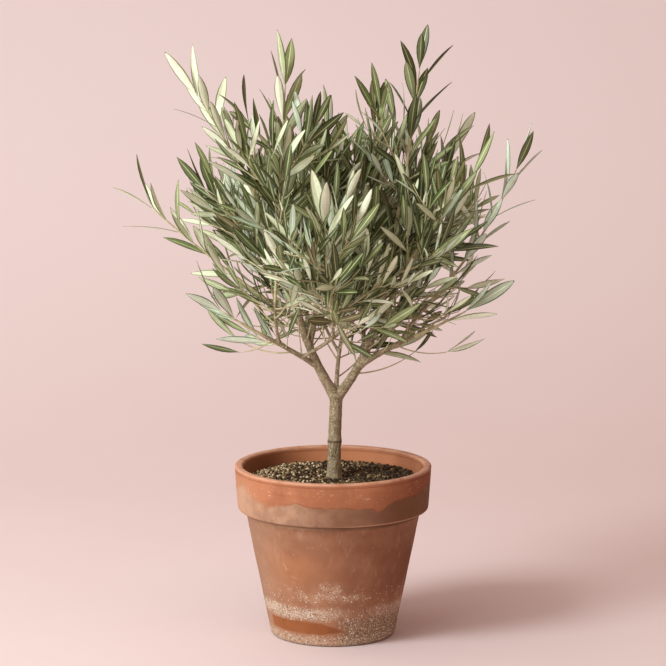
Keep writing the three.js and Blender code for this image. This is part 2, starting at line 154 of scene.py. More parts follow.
# Each mass of foliage carries on from its bough's tip as one stem, which ends at this heading and
# rise. Everything that grows from the stem keeps within its spread of it.
FOLIAGE = [
    # name, bough, heading, rise, length, spread, side shoots, finer shoots, bough shoots
    ("foliage_far_left", "bough_left_outer", 184, 42, 178, 76, 0, 0, 0),
    ("foliage_upper_left", "bough_left", 180, 56, 298, 84, 3, 3, 1),
    ("foliage_front_left", "bough_front_left", 60, 84, 268, 88, 6, 10, 3),
    ("foliage_top_middle", "bough_left_inner", 40, 83, 214, 88, 8, 18, 4),
    ("foliage_top_right", "bough_right", 10, 84, 314, 88, 5, 7, 4),
    ("foliage_front_right", "bough_crossing", -14, 56, 226, 84, 5, 8, 3),
    ("foliage_far_right", "bough_right_outer", 4, 67, 200, 62, 0, 2, 1),
    ("foliage_low_left", "bough_low_left", 186, 34, 66, 92, 0, 0, 1),
    ("foliage_low_right", "bough_low_right", -10, 30, 72, 92, 1, 0, 0),
    ("foliage_front", "bough_front", -92, 72, 150, 88, 5, 11, 2),
    ("foliage_centre", "bough_centre", 60, 80, 240, 100, 9, 28, 4),
    ("foliage_right", "bough_right_inner", 22, 66, 196, 80, 5, 8, 3),
    ("foliage_back_left", "bough_centre_left", 112, 74, 232, 84, 6, 12, 3),
    ("foliage_back_middle", "bough_back_left", 90, 66, 190, 90, 6, 14, 3),
    ("foliage_back_right", "bough_back_right", 78, 72, 212, 84, 7, 12, 3),
    ("foliage_rear_left", "bough_rear_left", 116, 56, 156, 84, 5, 5, 1),
    ("foliage_rear_right", "bough_rear_right", 62, 56, 156, 84, 5, 6, 2),
]
MASSES = [row[0] for row in FOLIAGE]
LIMBS = ["trunk"] + [row[0] for row in BOUGHS]

SEED = 57
FINER_SEED = 900  # of what only this file grows
COURSE_STEP = 8
STEM_STEP = 42  # lengths of the straight pieces that the rule tests
SHOOT_STEP = 58
TEST_STEP = 8  # between the points of a new shoot that must find room
LONGEST_PIECE = 90  # no straight piece is longer than this
PIECE_ROOM = 24000  # the most straight pieces that the rule can hold
FINE_STEP = 5
STEM_TIP = 1.0
STEM_OVERLAP = 3  # of a stem back into its bough
SHOOT_RADIUS = (1.5, 0.9)
GOLDEN_ANGLE = 137.5
BEARING_RANGE = (0, 40)
FIRST_LEAF = (44, 14, 14, 14)  # from the foot of a shoot, by its order
LAST_LEAF = 1  # from the shoot's tip
CLEAR_OF_STEM = 6  # a new shoot is not tested nearer its foot than this

# How side growth leaves what carries it: first the side shoots, which the solids have too, then the
# finer growth, which only this file has. Pairs go from the carrier's foot to its tip, or from least
# to most. Bare twigs stand low on the boughs and bend up into the crown, with leaves at their ends.
GROWTH = "zone shift length length_range angle angle_range lift radius clearance".split()


def growth(*values):
    return dict(zip(GROWTH, values))


SIDE_SHOOTS = growth(
    (0.04, 0.62), 0.7, (118, 62), (0.8, 1.1), (60, 34), (-8, 8), (0.45, 0.8), SHOOT_RADIUS, 1.0
)
FINE_SHOOTS = growth(
    (0.0, 0.72), 0.8, (88, 40), (0.6, 1.1), (76, 34), (-10, 12), (0.2, 0.7), (1.15, 0.7), 0.4
)
BOUGH_SHOOTS = growth(
    (0.5, 0.96), 0.8, (54, 76), (0.7, 1.1), (58, 66), (-10, 10), (0.3, 0.2), (1.15, 0.7), 0.4
)
TWIGLETS = growth(
    (0.2, 0.85), 0.8, (52, 30), (0.7, 1.15), (48, 34), (-8, 8), (0.4, 0.6), (0.9, 0.6), 0.3
)
BARE_TWIGS = growth(
    (0.2, 1.0), 0.7, (92, 64), (0.6, 1.2), (50, 66), (-14, 14), (0.9, 0.5), (1.1, 0.6), 0.3
)
TWIGLET_SPACING = 34
BARE_TWIG_COUNT = 4
STEM, SIDE_SHOOT, FINE_SHOOT, TWIGLET, BARE = range(5)  # the orders of growth
REACH_SLACK = 5  # how far past the solids' own reach a leaf may end
REACH = (np.array(cad_low) / MM - REACH_SLACK, np.array(cad_high) / MM + REACH_SLACK)
LEAF = {
    "internode": (21, 20, 16, 15),  # on stems, side shoots, finer shoots and twiglets
    "turn": (-18, 18),
    "tries": (1.0, 0.95, 0.85, 0.7),  # a leaf that finds no room comes again, shorter
    "angle": (22, 46),
    "tip_angle": (10, 24),
    "lift": 0.25,
    "length": [(54, 74), (48, 70), (44, 66), (40, 60)],
    "width": [(0.17, 0.22), (0.16, 0.21), (0.14, 0.2), (0.13, 0.19)],
    "widest": 0.5,
    "roll": (-38, 38),
    "clearance": 0.2,
    "probe": 7,
    "room": 0.75,  # the share of its half width that a leaf keeps clear of others
}


# ---------------------------------------------------------------- small helpers


def mix(ends, share):
    return ends[0] + (ends[1] - ends[0]) * share


def unit(v):
    return v / math.sqrt(float(v @ v))


def whole(x):
    return int(math.floor(x + 0.5))


def aim(heading, rise):
    h = math.radians(heading)
    up = math.radians(rise)
    return np.array([math.cos(up) * math.cos(h), math.cos(up) * math.sin(h), math.sin(up)])


def square_to(direction):
    other = np.array([1.0, 0, 0]) if abs(direction[0]) < 0.8 else np.array([0, 1.0, 0])
    return unit(other - direction * (other @ direction))


def turned_about(v, axis, degrees):
    a = math.radians(degrees)
    return v * math.cos(a) + np.cross(axis, v) * math.sin(a) + axis * (axis @ v) * (1 - math.cos(a))


def leaning(along, angle, bearing):
    side = turned_about(square_to(along), along, bearing)
    lean = math.radians(angle)
    return along * math.cos(lean) + side * math.sin(lean)


def round_at(radius, a):
    """The place at a radius from the pot's axis and an angle in radians from +X."""
    return radius * math.cos(a), radius * math.sin(a)


def unevenness(depth, size, x, y, z):
    """Smooth random relief, with its depth and the size of its waves in millimetres."""
    return depth * noise.noise(Vector((x, y, z)) / size)


def off_pieces(points, start, run, square):
    """How far each point is from each straight piece, and at what share of the piece's length."""
    out = points[:, None] - start[None]
    share = np.clip((out * run[None]).sum(2) / square, 0, 1)
    return np.linalg.norm(out - run[None] * share[..., None], axis=2), share


def quads_between(rings, sides, closed=False):
    """Quads that join each ring of points to the next, and the last to the first if closed."""
    count = rings if closed else rings - 1
    i, j = np.meshgrid(np.arange(count), np.arange(sides), indexing="ij")
    up = (i + 1) % rings * sides
    side = (j + 1) % sides
    return np.stack([i * sides + j, i * sides + side, up + side, up + j], -1).reshape(-1, 4)


def dice(seed):
    """Mulberry32, a small seeded generator of numbers from 0 to 1."""
    mask = 0xFFFFFFFF
    state = seed & mask

    def roll():
        nonlocal state
        state = (state + 0x6D2B79F5) & mask
        t = ((state ^ (state >> 15)) * (state | 1)) & mask
        t ^= (t + (((t ^ (t >> 7)) * (t | 61)) & mask)) & mask
        return ((t ^ (t >> 14)) & mask) / 4294967296

    return roll


class Course:
    """A line that turns evenly from its first direction to its last."""

    def __init__(self, start, first, last, length, step):
        self.start, self.first, self.last, self.length = start, first, last, length
        count = max(2, whole(length / step))
        at = [start]
        along = [first]
        for i in range(1, count + 1):
            ahead = unit(first + (last - first) * (i / count))
            chord = unit(along[-1] + ahead)
            at.append(at[-1] + chord * (length / count))
            along.append(ahead)
        self.at = np.array(at)
        self.along = np.array(along)

    def station(self, distance):
        pieces = len(self.at) - 1
        place = min(max(distance / self.length, 0), 1) * pieces
        i = min(int(place), pieces - 1)
        share = place - i
        at = self.at[i] + (self.at[i + 1] - self.at[i]) * share
        along = unit(self.along[i] + (self.along[i + 1] - self.along[i]) * share)
        return at, along

    def finer(self, step):
        return Course(self.start, self.first, self.last, self.length, step)


def new_object(name, data):
    made = bpy.data.objects.new(name, data)
    bpy.context.scene.collection.objects.link(made)
    return made


def applied(piece):
    """The mesh that a piece's modifiers make of it."""
    scene = bpy.context.evaluated_depsgraph_get()
    return bpy.data.meshes.new_from_object(piece.evaluated_get(scene))


def smooth_shaded(mesh):
    mesh.polygons.foreach_set("use_smooth", np.ones(len(mesh.polygons), bool))


def vectors_of(mesh, what):
    values = np.zeros(len(mesh.vertices) * 3, np.float32)
    mesh.vertices.foreach_get(what, values)
    return values.reshape(-1, 3).astype(float)


def mesh_object(name, points, faces, kinds=None, sharp=None):
    """A mesh piece from points in millimetres. Faces are one array of quads or a list of arrays."""
    groups = faces if isinstance(faces, list) else [faces]
    corners = np.concatenate([g.ravel() for g in groups]).astype(np.int32)
    sizes = np.concatenate([np.full(len(g), g.shape[1]) for g in groups]).astype(np.int32)
    starts = np.concatenate([[0], np.cumsum(sizes)[:-1]]).astype(np.int32)
    mesh = bpy.data.meshes.new(name)
    mesh.vertices.add(len(points))
    mesh.vertices.foreach_set("co", (np.asarray(points) * MM).astype(np.float32).ravel())
    mesh.loops.add(len(corners))
    mesh.loops.foreach_set("vertex_index", corners)
    mesh.polygons.add(len(sizes))
    mesh.polygons.foreach_set("loop_start", starts)
    mesh.polygons.foreach_set("loop_total", sizes)
    mesh.update(calc_edges=True)
    if kinds is not None:
        mesh.polygons.foreach_set("material_index", kinds.astype(np.int32))
    smooth_shaded(mesh)
    if sharp is not None:
        edges = np.zeros(len(mesh.edges) * 2, np.int32)
        mesh.edges.foreach_get("vertices", edges)
        flags = sharp(edges.reshape(-1, 2))
        mesh.attributes.new("sharp_edge", "BOOLEAN", "EDGE").data.foreach_set("value", flags)
    mesh.validate()
    return new_object(name, mesh)


def set_in_place(piece, slot, nodes, *finishes):
    """Gives a piece its finishes, sets it to ride on the root, and hides the solids that it stands
    for.
    """
    for finish in finishes:
        piece.data.materials.append(finish)
    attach(piece, "root")
    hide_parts(*nodes)


# ---------------------------------------------------------------- shared effects


def colour(code):
    """A colour written as 0xRRGGBB, as the linear values that a shader takes."""
    parts = [(code >> shift & 255) / 255 for shift in (16, 8, 0)]
    linear = [c / 12.92 if c <= 0.04045 else ((c + 0.055) / 1.055) ** 2.4 for c in parts]
    return (*linear, 1.0)


class Nodes:
    """Short ways to add nodes to a tree and join them."""

    def __init__(self, tree):
        self.tree = tree

    def add(self, kind, inputs=None, **settings):
        node = self.tree.nodes.new(kind)
        for key, value in settings.items():
            setattr(node, key, value)
        for key, value in (inputs or {}).items():
            self.feed(node.inputs[key], value)
        return node

    def feed(self, socket, value):
        if isinstance(value, bpy.types.NodeSocket):
            self.tree.links.new(value, socket)
        else:
            socket.default_value = value

    def maths(self, operation, *values):
        node = self.add("ShaderNodeMath", operation=operation)
        for socket, value in zip(node.inputs, values):
            self.feed(socket, value)
        return node.outputs[0]

    def ramp(self, value, low, high, bottom=0.0, top=1.0):
        """A smooth step from bottom to top as the value goes from low to high."""
        names = ("Value", "From Min", "From Max", "To Min", "To Max")
        inputs = dict(zip(names, (value, low, high, bottom, top)))
        return self.add("ShaderNodeMapRange", inputs, interpolation_type="SMOOTHSTEP").outputs[0]

    def blend(self, share, first, second, how="MIX"):
        node = self.add("ShaderNodeMix", data_type="RGBA", blend_type=how)
        for i, value in zip((0, 6, 7), (share, first, second)):
            self.feed(node.inputs[i], value)
        return node.outputs[2]

    def times(self, first, *others):
        """Masks and numbers multiplied together."""
        for other in others:
            first = self.maths("MULTIPLY", first, other)
        return first

    def rest(self, mask):
        """What a mask leaves bare."""
        return self.maths("SUBTRACT", 1.0, mask)

    def effect(self, group, **inputs):
        node = self.add("ShaderNodeGroup", node_tree=group)
        for key, value in inputs.items():
            self.feed(node.inputs[key.replace("_", " ").title()], value)
        return node.outputs[0]


def effect_group(name, inputs, make, output="Mask"):
    """A shader group with a Place, named number inputs and one output, which make works out."""
    group = bpy.data.node_groups.new(name, "ShaderNodeTree")
    group.interface.new_socket("Place", in_out="INPUT", socket_type="NodeSocketVector")
    for key, value in inputs.items():
        made = group.interface.new_socket(key, in_out="INPUT", socket_type="NodeSocketFloat")
        made.default_value = value
    group.interface.new_socket(output, in_out="OUTPUT", socket_type="NodeSocketFloat")
    nodes = Nodes(group)
    given = nodes.add("NodeGroupInput").outputs
    taken = nodes.add("NodeGroupOutput").inputs
    nodes.feed(taken[output], make(nodes, given))
    return group


def noise_of(nodes, place, size, detail=4.0, roughness=0.55):
    scale = nodes.maths("DIVIDE", 1.0, size)
    inputs = {"Vector": place, "Scale": scale, "Detail": detail, "Roughness": roughness}
    return nodes.add("ShaderNodeTexNoise", inputs).outputs["Fac"]


def mottling(nodes, given):
    """Cloudy patches of a given size in millimetres, sharper as Low and High come together."""
    clouds = noise_of(nodes, given["Place"], given["Size"], 5.0, 0.6)
    return nodes.ramp(clouds, given["Low"], given["High"])


def speckles(nodes, given):
    """Small separate grains. Cover is the share of grains that show."""
    scale = nodes.maths("DIVIDE", 1.0, given["Size"])
    inputs = {"Vector": given["Place"], "Scale": scale, "Randomness": 1.0}
    cells = nodes.add("ShaderNodeTexVoronoi", inputs, feature="F1")
    lot = nodes.add("ShaderNodeSeparateColor", {"Color": cells.outputs["Color"]}).outputs[0]
    chosen = nodes.ramp(nodes.maths("SUBTRACT", given["Cover"], lot), 0.0, 0.03)
    spot = nodes.ramp(cells.outputs["Distance"], 0.25, 0.6, 1.0, 0.0)
    return nodes.times(chosen, spot)


def streaks(nodes, given):
    """Marks that run up and down: Width across and Length along, in millimetres."""
    across = nodes.maths("DIVIDE", 1.0, given["Width"])
    down = nodes.maths("DIVIDE", 1.0, given["Length"])
    stretch = nodes.add("ShaderNodeCombineXYZ", {"X": across, "Y": across, "Z": down}).outputs[0]
    scaled = nodes.add("ShaderNodeVectorMath", operation="MULTIPLY")
    nodes.feed(scaled.inputs[0], given["Place"])
    nodes.feed(scaled.inputs[1], stretch)
    marks = noise_of(nodes, scaled.outputs[0], 1.0, 4.0, 0.6)
    return nodes.ramp(marks, given["Low"], given["High"])


def level_band(nodes, given):
    """A level band between two heights, whose edges are Soft and waver up and down."""
    height = nodes.add("ShaderNodeSeparateXYZ", {"Vector": given["Place"]}).outputs["Z"]
    sway = noise_of(nodes, given["Place"], given["Waver Size"], 3.0, 0.6)
    sway = nodes.times(nodes.maths("SUBTRACT", sway, 0.5), given["Waver"])
    height = nodes.maths("ADD", height, nodes.times(sway, 4.0))
    edges = []
    for end in ("Foot", "Top"):
        low = nodes.maths("SUBTRACT", given[end], given["Soft"])
        high = nodes.maths("ADD", given[end], given["Soft"])
        edges.append(nodes.ramp(height, low, high))
    over = nodes.rest(edges[1])
    return nodes.times(edges[0], over)


def side_stretch(nodes, given):
    """A stretch of the way round, in degrees from the front towards +X."""
    parts = nodes.add("ShaderNodeSeparateXYZ", {"Vector": given["Place"]}).outputs
    back = nodes.times(parts["Y"], -1.0)
    angle = nodes.maths("DEGREES", nodes.maths("ARCTAN2", parts["X"], back))
    away = nodes.maths("SUBTRACT", angle, given["Middle"])
    away = nodes.maths("ABSOLUTE", nodes.maths("WRAP", away, 180.0, -180.0))
    low = nodes.maths("SUBTRACT", given["Half"], given["Soft"])
    high = nodes.maths("ADD", given["Half"], given["Soft"])
    return nodes.ramp(away, low, high, 1.0, 0.0)


def veins(nodes, given):
    """Thin wandering lines. Fine is half a line's width, as a share of the noise's range."""
    clouds = noise_of(nodes, given["Place"], given["Size"], 3.0, 0.5)
    off = nodes.maths("ABSOLUTE", nodes.maths("SUBTRACT", clouds, 0.5))
    return nodes.ramp(off, 0.0, given["Fine"], 1.0, 0.0)


def surface_grain(nodes, given):
    """The height of a fired or weathered surface: a coarse grain with a finer one on it."""
    coarse = noise_of(nodes, given["Place"], given["Size"], 6.0, 0.7)
    scale = nodes.maths("DIVIDE", 1.0, given["Size"])
    inputs = {"Vector": given["Place"], "Scale": scale}
    holes = nodes.add("ShaderNodeTexVoronoi", inputs, feature="F1").outputs["Distance"]
    holes = nodes.ramp(holes, 0.0, 0.35, 1.0, 0.0)
    pits = nodes.times(holes, given["Pores"])
    return nodes.maths("SUBTRACT", coarse, pits)


BAND_INPUTS = {"Foot": 0.0, "Top": 10.0, "Soft": 2.0, "Waver": 3.0, "Waver Size": 25.0}
STREAK_INPUTS = {"Width": 6.0, "Length": 60.0, "Low": 0.45, "High": 0.6}
MOTTLING = effect_group("Mottling", {"Size": 20.0, "Low": 0.4, "High": 0.6}, mottling)
SPECKLES = effect_group("Speckles", {"Size": 1.5, "Cover": 0.4}, speckles)
STREAKS = effect_group("Streaks", STREAK_INPUTS, streaks)
LEVEL_BAND = effect_group("Level Band", BAND_INPUTS, level_band)
SIDE = effect_group("Side", {"Middle": 0.0, "Half": 40.0, "Soft": 8.0}, side_stretch)
VEINS = effect_group("Veins", {"Size": 20.0, "Fine": 0.02}, veins)
GRAIN = effect_group("Grain", {"Size": 1.2, "Pores": 0.3}, surface_grain, "Height")


class Finish(Nodes):
    """A material with one shader, and Place, the point on the piece in millimetres."""

    def __init__(self, name, roughness, shine=0.5):
        self.material = bpy.data.materials.new(name)
        self.material.use_nodes = True
        super().__init__(self.material.node_tree)
        self.tree.nodes.clear()
        shader = self.add("ShaderNodeBsdfPrincipled")
        self.shader = shader.inputs
        self.shader["Roughness"].default_value = roughness
        self.shader["Specular IOR Level"].default_value = shine
        self.add("ShaderNodeOutputMaterial", {"Surface": shader.outputs[0]})
        here = self.add("ShaderNodeTexCoord").outputs["Object"]
        scaled = self.add("ShaderNodeVectorMath", {"Vector": here}, operation="SCALE")
        scaled.inputs["Scale"].default_value = 1 / MM
        self.place = scaled.outputs[0]

    def mask(self, group, **inputs):
        return self.effect(group, Place=self.place, **inputs)

    def clouds(self, size, low, high):
        return self.mask(MOTTLING, Size=size, Low=low, High=high)

    def streaks(self, width, length, low, high):
        return self.mask(STREAKS, Width=width, Length=length, Low=low, High=high)

    def band(self, foot, top, soft, waver=0.0, size=25.0):
        return self.mask(LEVEL_BAND, Foot=foot, Top=top, Soft=soft, Waver=waver, Waver_Size=size)

    def side(self, middle, half, soft):
        return self.mask(SIDE, Middle=middle, Half=half, Soft=soft)

    def speckles(self, size, cover):
        return self.mask(SPECKLES, Size=size, Cover=cover)

    def grain(self, size, pores):
        return self.mask(GRAIN, Size=size, Pores=pores)

    def coat(self, skin, code, *masks):
        """The skin with one colour over it, as strong as its masks and numbers together."""
        return self.blend(self.times(*masks), skin, colour(code))

    def made(self, skin, height, depth):
        """The material with its colour, and its relief in millimetres for a height of 1."""
        self.feed(self.shader["Base Color"], skin)
        inputs = {"Height": height, "Strength": 1.0, "Distance": depth * MM}
        self.feed(self.shader["Normal"], self.add("ShaderNodeBump", inputs).outputs[0])
        return self.material


# ---------------------------------------------------------------- finishes


# Where the tide line on the rim leaves its level: middle and half of the stretch in degrees from
# the front towards +X, how softly it begins, and how far the line rises there.
TIDE = [
    (-67, 9, 10, 13),
    (-41, 4, 9, -5),
    (-22, 4, 7, 5),
    (17, 6, 6, -2),
    (28, 2, 6, -10),
    (50, 12, 8, 5),
    (74, 12, 9, 11),
    (150, 50, 20, 6),
]
TIDE_LEVEL = POT_HEIGHT - 31


def clay_finish():
    clay = Finish("weathered_clay", 0.9, 0.25)
    parts = clay.add("ShaderNodeSeparateXYZ", {"Vector": clay.place}).outputs
    height = parts["Z"]
    share = clay.times
    side = clay.side
    band = clay.band
    clouds = clay.clouds
    squares = [share(parts[axis], parts[axis]) for axis in "XY"]
    radius = clay.maths("SQRT", clay.maths("ADD", *squares))

    # Fired clay, with the level streaks that throwing leaves.
    skin = clay.blend(clouds(46.0, 0.36, 0.64), colour(0xB47A58), colour(0xA16A4B))
    thrown_lines = clay.streaks(70.0, 2.2, 0.45, 0.75)
    skin = clay.coat(skin, 0x8F573B, thrown_lines, 0.3)
    # Painted shade: the fired clay darkens towards the right side, away from the light.
    skin = clay.coat(skin, 0x7C442C, side(66, 26, 22), 0.75)

    # The body is browner: orange at the front left, painted shade to the right, a painted shadow
    # under the rim, and dusty under the rim.
    body = clay.ramp(height, RIM_FOOT - 1, RIM_FOOT + 1, 1.0, 0.0)
    brown = clay.blend(clouds(58.0, 0.35, 0.65), colour(0xA67A5D), colour(0x93674D))
    orange = share(side(-32, 24, 22), band(84, 124, 16, 5.0, 40.0), 0.5)
    brown = clay.coat(brown, 0xAA744E, orange)
    # Painted shade: the body darkens towards the right side, away from the light.
    painted_shade_right = share(side(64, 38, 36), band(62, 156, 20, 7.0, 40.0), 0.7)
    brown = clay.coat(brown, 0x70432D, painted_shade_right)
    # Painted shadow: the rim's shadow on the body just under it.
    painted_rim_shadow = share(side(12, 42, 30), band(118, RIM_FOOT + 20, 16, 5.0, 30.0), 0.66)
    brown = clay.coat(brown, 0x7E4F38, painted_rim_shadow)
    dust = share(band(RIM_FOOT - 36, RIM_FOOT + 20, 14, 6.0, 30.0), clouds(30.0, 0.3, 0.62), 0.3)
    brown = clay.coat(brown, 0xA98467, dust)
    smears = clay.streaks(8.0, 24.0, 0.5, 0.8)
    brown = clay.coat(brown, 0xBC9A80, smears, clouds(40.0, 0.42, 0.6), 0.5)
    trails = clay.mask(VEINS, Size=26.0, Fine=0.022)
    trails = share(trails, clouds(34.0, 0.5, 0.62), side(-46, 34, 22), 0.35)
    brown = clay.coat(brown, 0xCFB49B, trails)
    brown = clay.coat(brown, 0xA48A74, side(-70, 20, 20), 0.4)
    skin = clay.blend(body, skin, brown)

    # Water has stained the rim's lower part, up to a tide line with a thin dark edge. Painted shade
    # darkens the stain to the right, and a painted highlight lightens the rim's far left.
    level = TIDE_LEVEL
    for middle, half, soft, rise in TIDE:
        level = clay.maths("ADD", level, share(side(middle, half, soft), rise))
    faint = side(-64, 30, 18)
    soft = clay.maths("ADD", 0.9, share(faint, 4.0))
    stained = {"Foot": RIM_FOOT - 6, "Soft": soft, "Waver": 1.0, "Waver_Size": 9.0}
    tide = clay.mask(LEVEL_BAND, Top=level, **stained)
    silt = clay.blend(clouds(15.0, 0.35, 0.68), colour(0xAE8D72), colour(0x8F6F59))
    silt = clay.coat(silt, 0xC4AC94, side(-34, 22, 18), 0.14)
    # Painted shade: the stain darkens towards the right side.
    silt = clay.coat(silt, 0x745540, side(22, 32, 18), 0.75)
    silt = clay.coat(silt, 0x694930, side(64, 34, 12), 0.85)
    silt = clay.coat(silt, 0xB3754F, faint, clouds(9.0, 0.5, 0.62), 0.45)
    firm = clay.maths("SUBTRACT", 0.88, share(side(-78, 14, 16), 0.4))
    skin = clay.blend(share(tide, firm), skin, silt)
    above = clay.mask(LEVEL_BAND, Top=clay.maths("ADD", level, 1.3), **stained)
    crisp = clay.rest(faint)
    edge = share(above, clay.rest(tide), clouds(12.0, 0.3, 0.55), crisp)
    skin = clay.coat(skin, 0x6E4029, edge, 0.6)
    # Painted highlight: the rim is paler on its far left, where the light falls.
    painted_highlight_left = share(side(-80, 24, 16), band(RIM_FOOT, POT_HEIGHT - 10, 7, 3.0), 0.6)
    skin = clay.blend(painted_highlight_left, skin, clay.blend(tide, colour(0xB78B6D), colour(0xC3A389)))

    # A clean orange lens near the foot, narrow at its right end.
    narrow = side(60, 58, 16)
    lens_top = clay.maths("SUBTRACT", 32.0, share(narrow, 14.0))
    lens_foot = clay.maths("ADD", 16.5, share(narrow, 4.0))
    lens_foot = clay.maths("ADD", lens_foot, share(side(-68, 4, 22), 4.0))
    lens = {"Foot": lens_foot, "Top": lens_top, "Soft": 1.2, "Waver": 0.8, "Waver_Size": 10.0}
    washed = share(clay.mask(LEVEL_BAND, **lens), side(-23, 41, 2))
    unwashed = clay.rest(washed)

    # Lime has bloomed through the foot of the wall, thickest at the front left.
    front_left = side(-42, 42, 22)
    grime = share(band(-9, 36, 7, 2.5, 20.0), side(104, 96, 9))
    skin = clay.coat(skin, 0x8A755C, grime, 0.74)
    right_end = share(side(62, 26, 18), 0.4)
    spread = clay.maths("ADD", clay.maths("ADD", share(front_left, 0.8), right_end), 0.14)
    main = share(band(36, 50, 5.0, 2.0, 20.0), spread)
    streak = share(band(61, 70, 4, 2.0, 20.0), side(-2, 27, 10))
    arm = share(band(64, 85, 6, 2.0, 16.0), side(-1, 9, 7))
    upper = share(clay.maths("MAXIMUM", streak, arm), clouds(11.0, 0.34, 0.58))
    around = share(band(38, 78, 12, 5.0, 26.0), 0.06)
    foot = share(band(-9, 13, 4, 1.6, 14.0), clay.maths("ADD", share(front_left, 0.4), 0.3))
    patchy = clouds(8.0, 0.22, 0.55)
    chalk = share(main, patchy, unwashed, 0.56)
    skin = clay.coat(skin, 0xCEC2AC, chalk)
    skin = clay.coat(skin, 0xC4A78C, upper, 0.45)
    skin = clay.coat(skin, 0xBCAA92, foot, patchy, unwashed, 0.7)
    cover = clay.maths("ADD", share(main, 0.62), share(upper, 0.3))
    for more in (around, share(foot, 0.7), share(grime, 0.42)):
        cover = clay.maths("ADD", cover, more)
    cover = share(cover, clouds(9.0, 0.2, 0.6), unwashed)
    fine = clay.speckles(1.4, cover)
    coarse = clay.speckles(2.1, share(cover, 0.5))
    lime = clay.maths("MAXIMUM", fine, coarse)
    skin = clay.coat(skin, 0xEBE1D0, lime, 0.85)
    pits = clay.speckles(1.9, share(cover, 0.62))
    skin = clay.coat(skin, 0x513828, pits, 0.85)
    lens_clay = clay.blend(clouds(26.0, 0.3, 0.7), colour(0x98603A), colour(0x86502F))
    skin = clay.blend(washed, skin, lens_clay)

    # Painted shadow darkens the inside wall: most on the left, where the rim shades it, and a little
    # on the right.
    wall = POT["inner_lip"]
    inside = clay.ramp(radius, wall - 2, wall + 0.5, 1.0, 0.0)
    inside = share(inside, band(RIM_FOOT + 8, POT_HEIGHT - 3, 3))
    outside = clay.rest(inside)
    right = side(88, 40, 18)
    skin = clay.coat(skin, 0xC6875F, inside, clay.rest(right), 0.65)
    painted_shadow_inside = clay.maths("ADD", share(side(-95, 55, 20), 0.58), share(right, 0.18))
    skin = clay.coat(skin, 0x4E2C1B, inside, painted_shadow_inside)

    # Scuffs near the lip and a worn lip top, a paler line along the rim's lower edge, painted shade
    # in the groove, and painted shadow under the rim and along the base.
    lip = band(POT_HEIGHT - 26, POT_HEIGHT - 3, 4.0, 1.0)
    scratches = clay.streaks(10.0, 0.8, 0.58, 0.66)
    scratches = share(scratches, clouds(11.0, 0.52, 0.6), lip, outside)
    skin = clay.coat(skin, 0xDDBBA4, scratches, 0.7)
    nicks = clay.speckles(1.6, share(lip, outside, 0.018))
    skin = clay.coat(skin, 0xE3C9B6, nicks, 0.8)
    worn_lip = share(band(POT_HEIGHT - 2.2, POT_HEIGHT + 9, 1.2), clouds(20.0, 0.2, 0.6), 0.62)
    skin = clay.coat(skin, 0xD4AE94, worn_lip)
    # Paler along the rim's lower edge, on the right.
    pale_rim_edge = share(band(RIM_FOOT - 0.6, RIM_FOOT + 2.2, 0.7), side(38, 34, 14), 0.55)
    skin = clay.coat(skin, 0xC99C80, pale_rim_edge)
    # Painted shade: a dark line in the groove below the lip.
    groove = GROOVES[0][0]
    line = band(POT_HEIGHT - groove - 0.7, POT_HEIGHT - groove + 0.7, 0.4)
    skin = clay.coat(skin, 0x74412B, line, 0.4)
    # Painted shadow under the rim's overhang.
    painted_shadow_under_rim = share(band(RIM_FOOT - 3.5, RIM_FOOT - 0.6, 1.0), 0.5)
    skin = clay.coat(skin, 0x5E3A28, painted_shadow_under_rim)
    # Painted shadow along the foot of the pot.
    base = share(band(-5, 1.2, 1.0), 0.5)
    skin = clay.coat(skin, 0x4A3222, base)
    relief = clay.maths("ADD", clay.grain(1.6, 0.4), share(lime, 0.9))
    return clay.made(skin, relief, 0.3)


def mottled_finish(name, surface, patches, plain, other, grain, depth):
    """Two colours in cloudy patches over a grained surface."""
    finish = Finish(name, *surface)
    skin = finish.blend(finish.clouds(*patches), plain, other)
    return finish.made(skin, finish.grain(*grain), depth)


def soil_finish():
    colours = (colour(0x241B12), colour(0x3B2E20))
    return mottled_finish("dark_soil", (1.0, 0.1), (4.0, 0.35, 0.65), *colours, (1.5, 0.5), 0.6)


def grit_finish(name, plain, worn):
    colours = (colour(plain), colour(worn))
    return mottled_finish(name, (0.85, 0.35), (1.6, 0.3, 0.7), *colours, (0.8, 0.3), 0.12)


def twig_finish():
    colours = (colour(0xC8C29C), colour(0xABA57C))
    return mottled_finish("pale_twig", (0.75, 0.3), (7.0, 0.35, 0.65), *colours, (0.9, 0.2), 0.1)


def leaf_finish(name, plain, roughness, shine):
    """A leaf's surface in one plain colour, a little lighter in patches."""
    base = np.array(colour(plain))
    lighter = tuple(np.clip(base * 1.16, 0, 1)[:3]) + (1.0,)
    colours = (tuple(base), lighter)
    return mottled_finish(name, (roughness, shine), (11.0, 0.3, 0.7), *colours, (1.4, 0.0), 0.06)


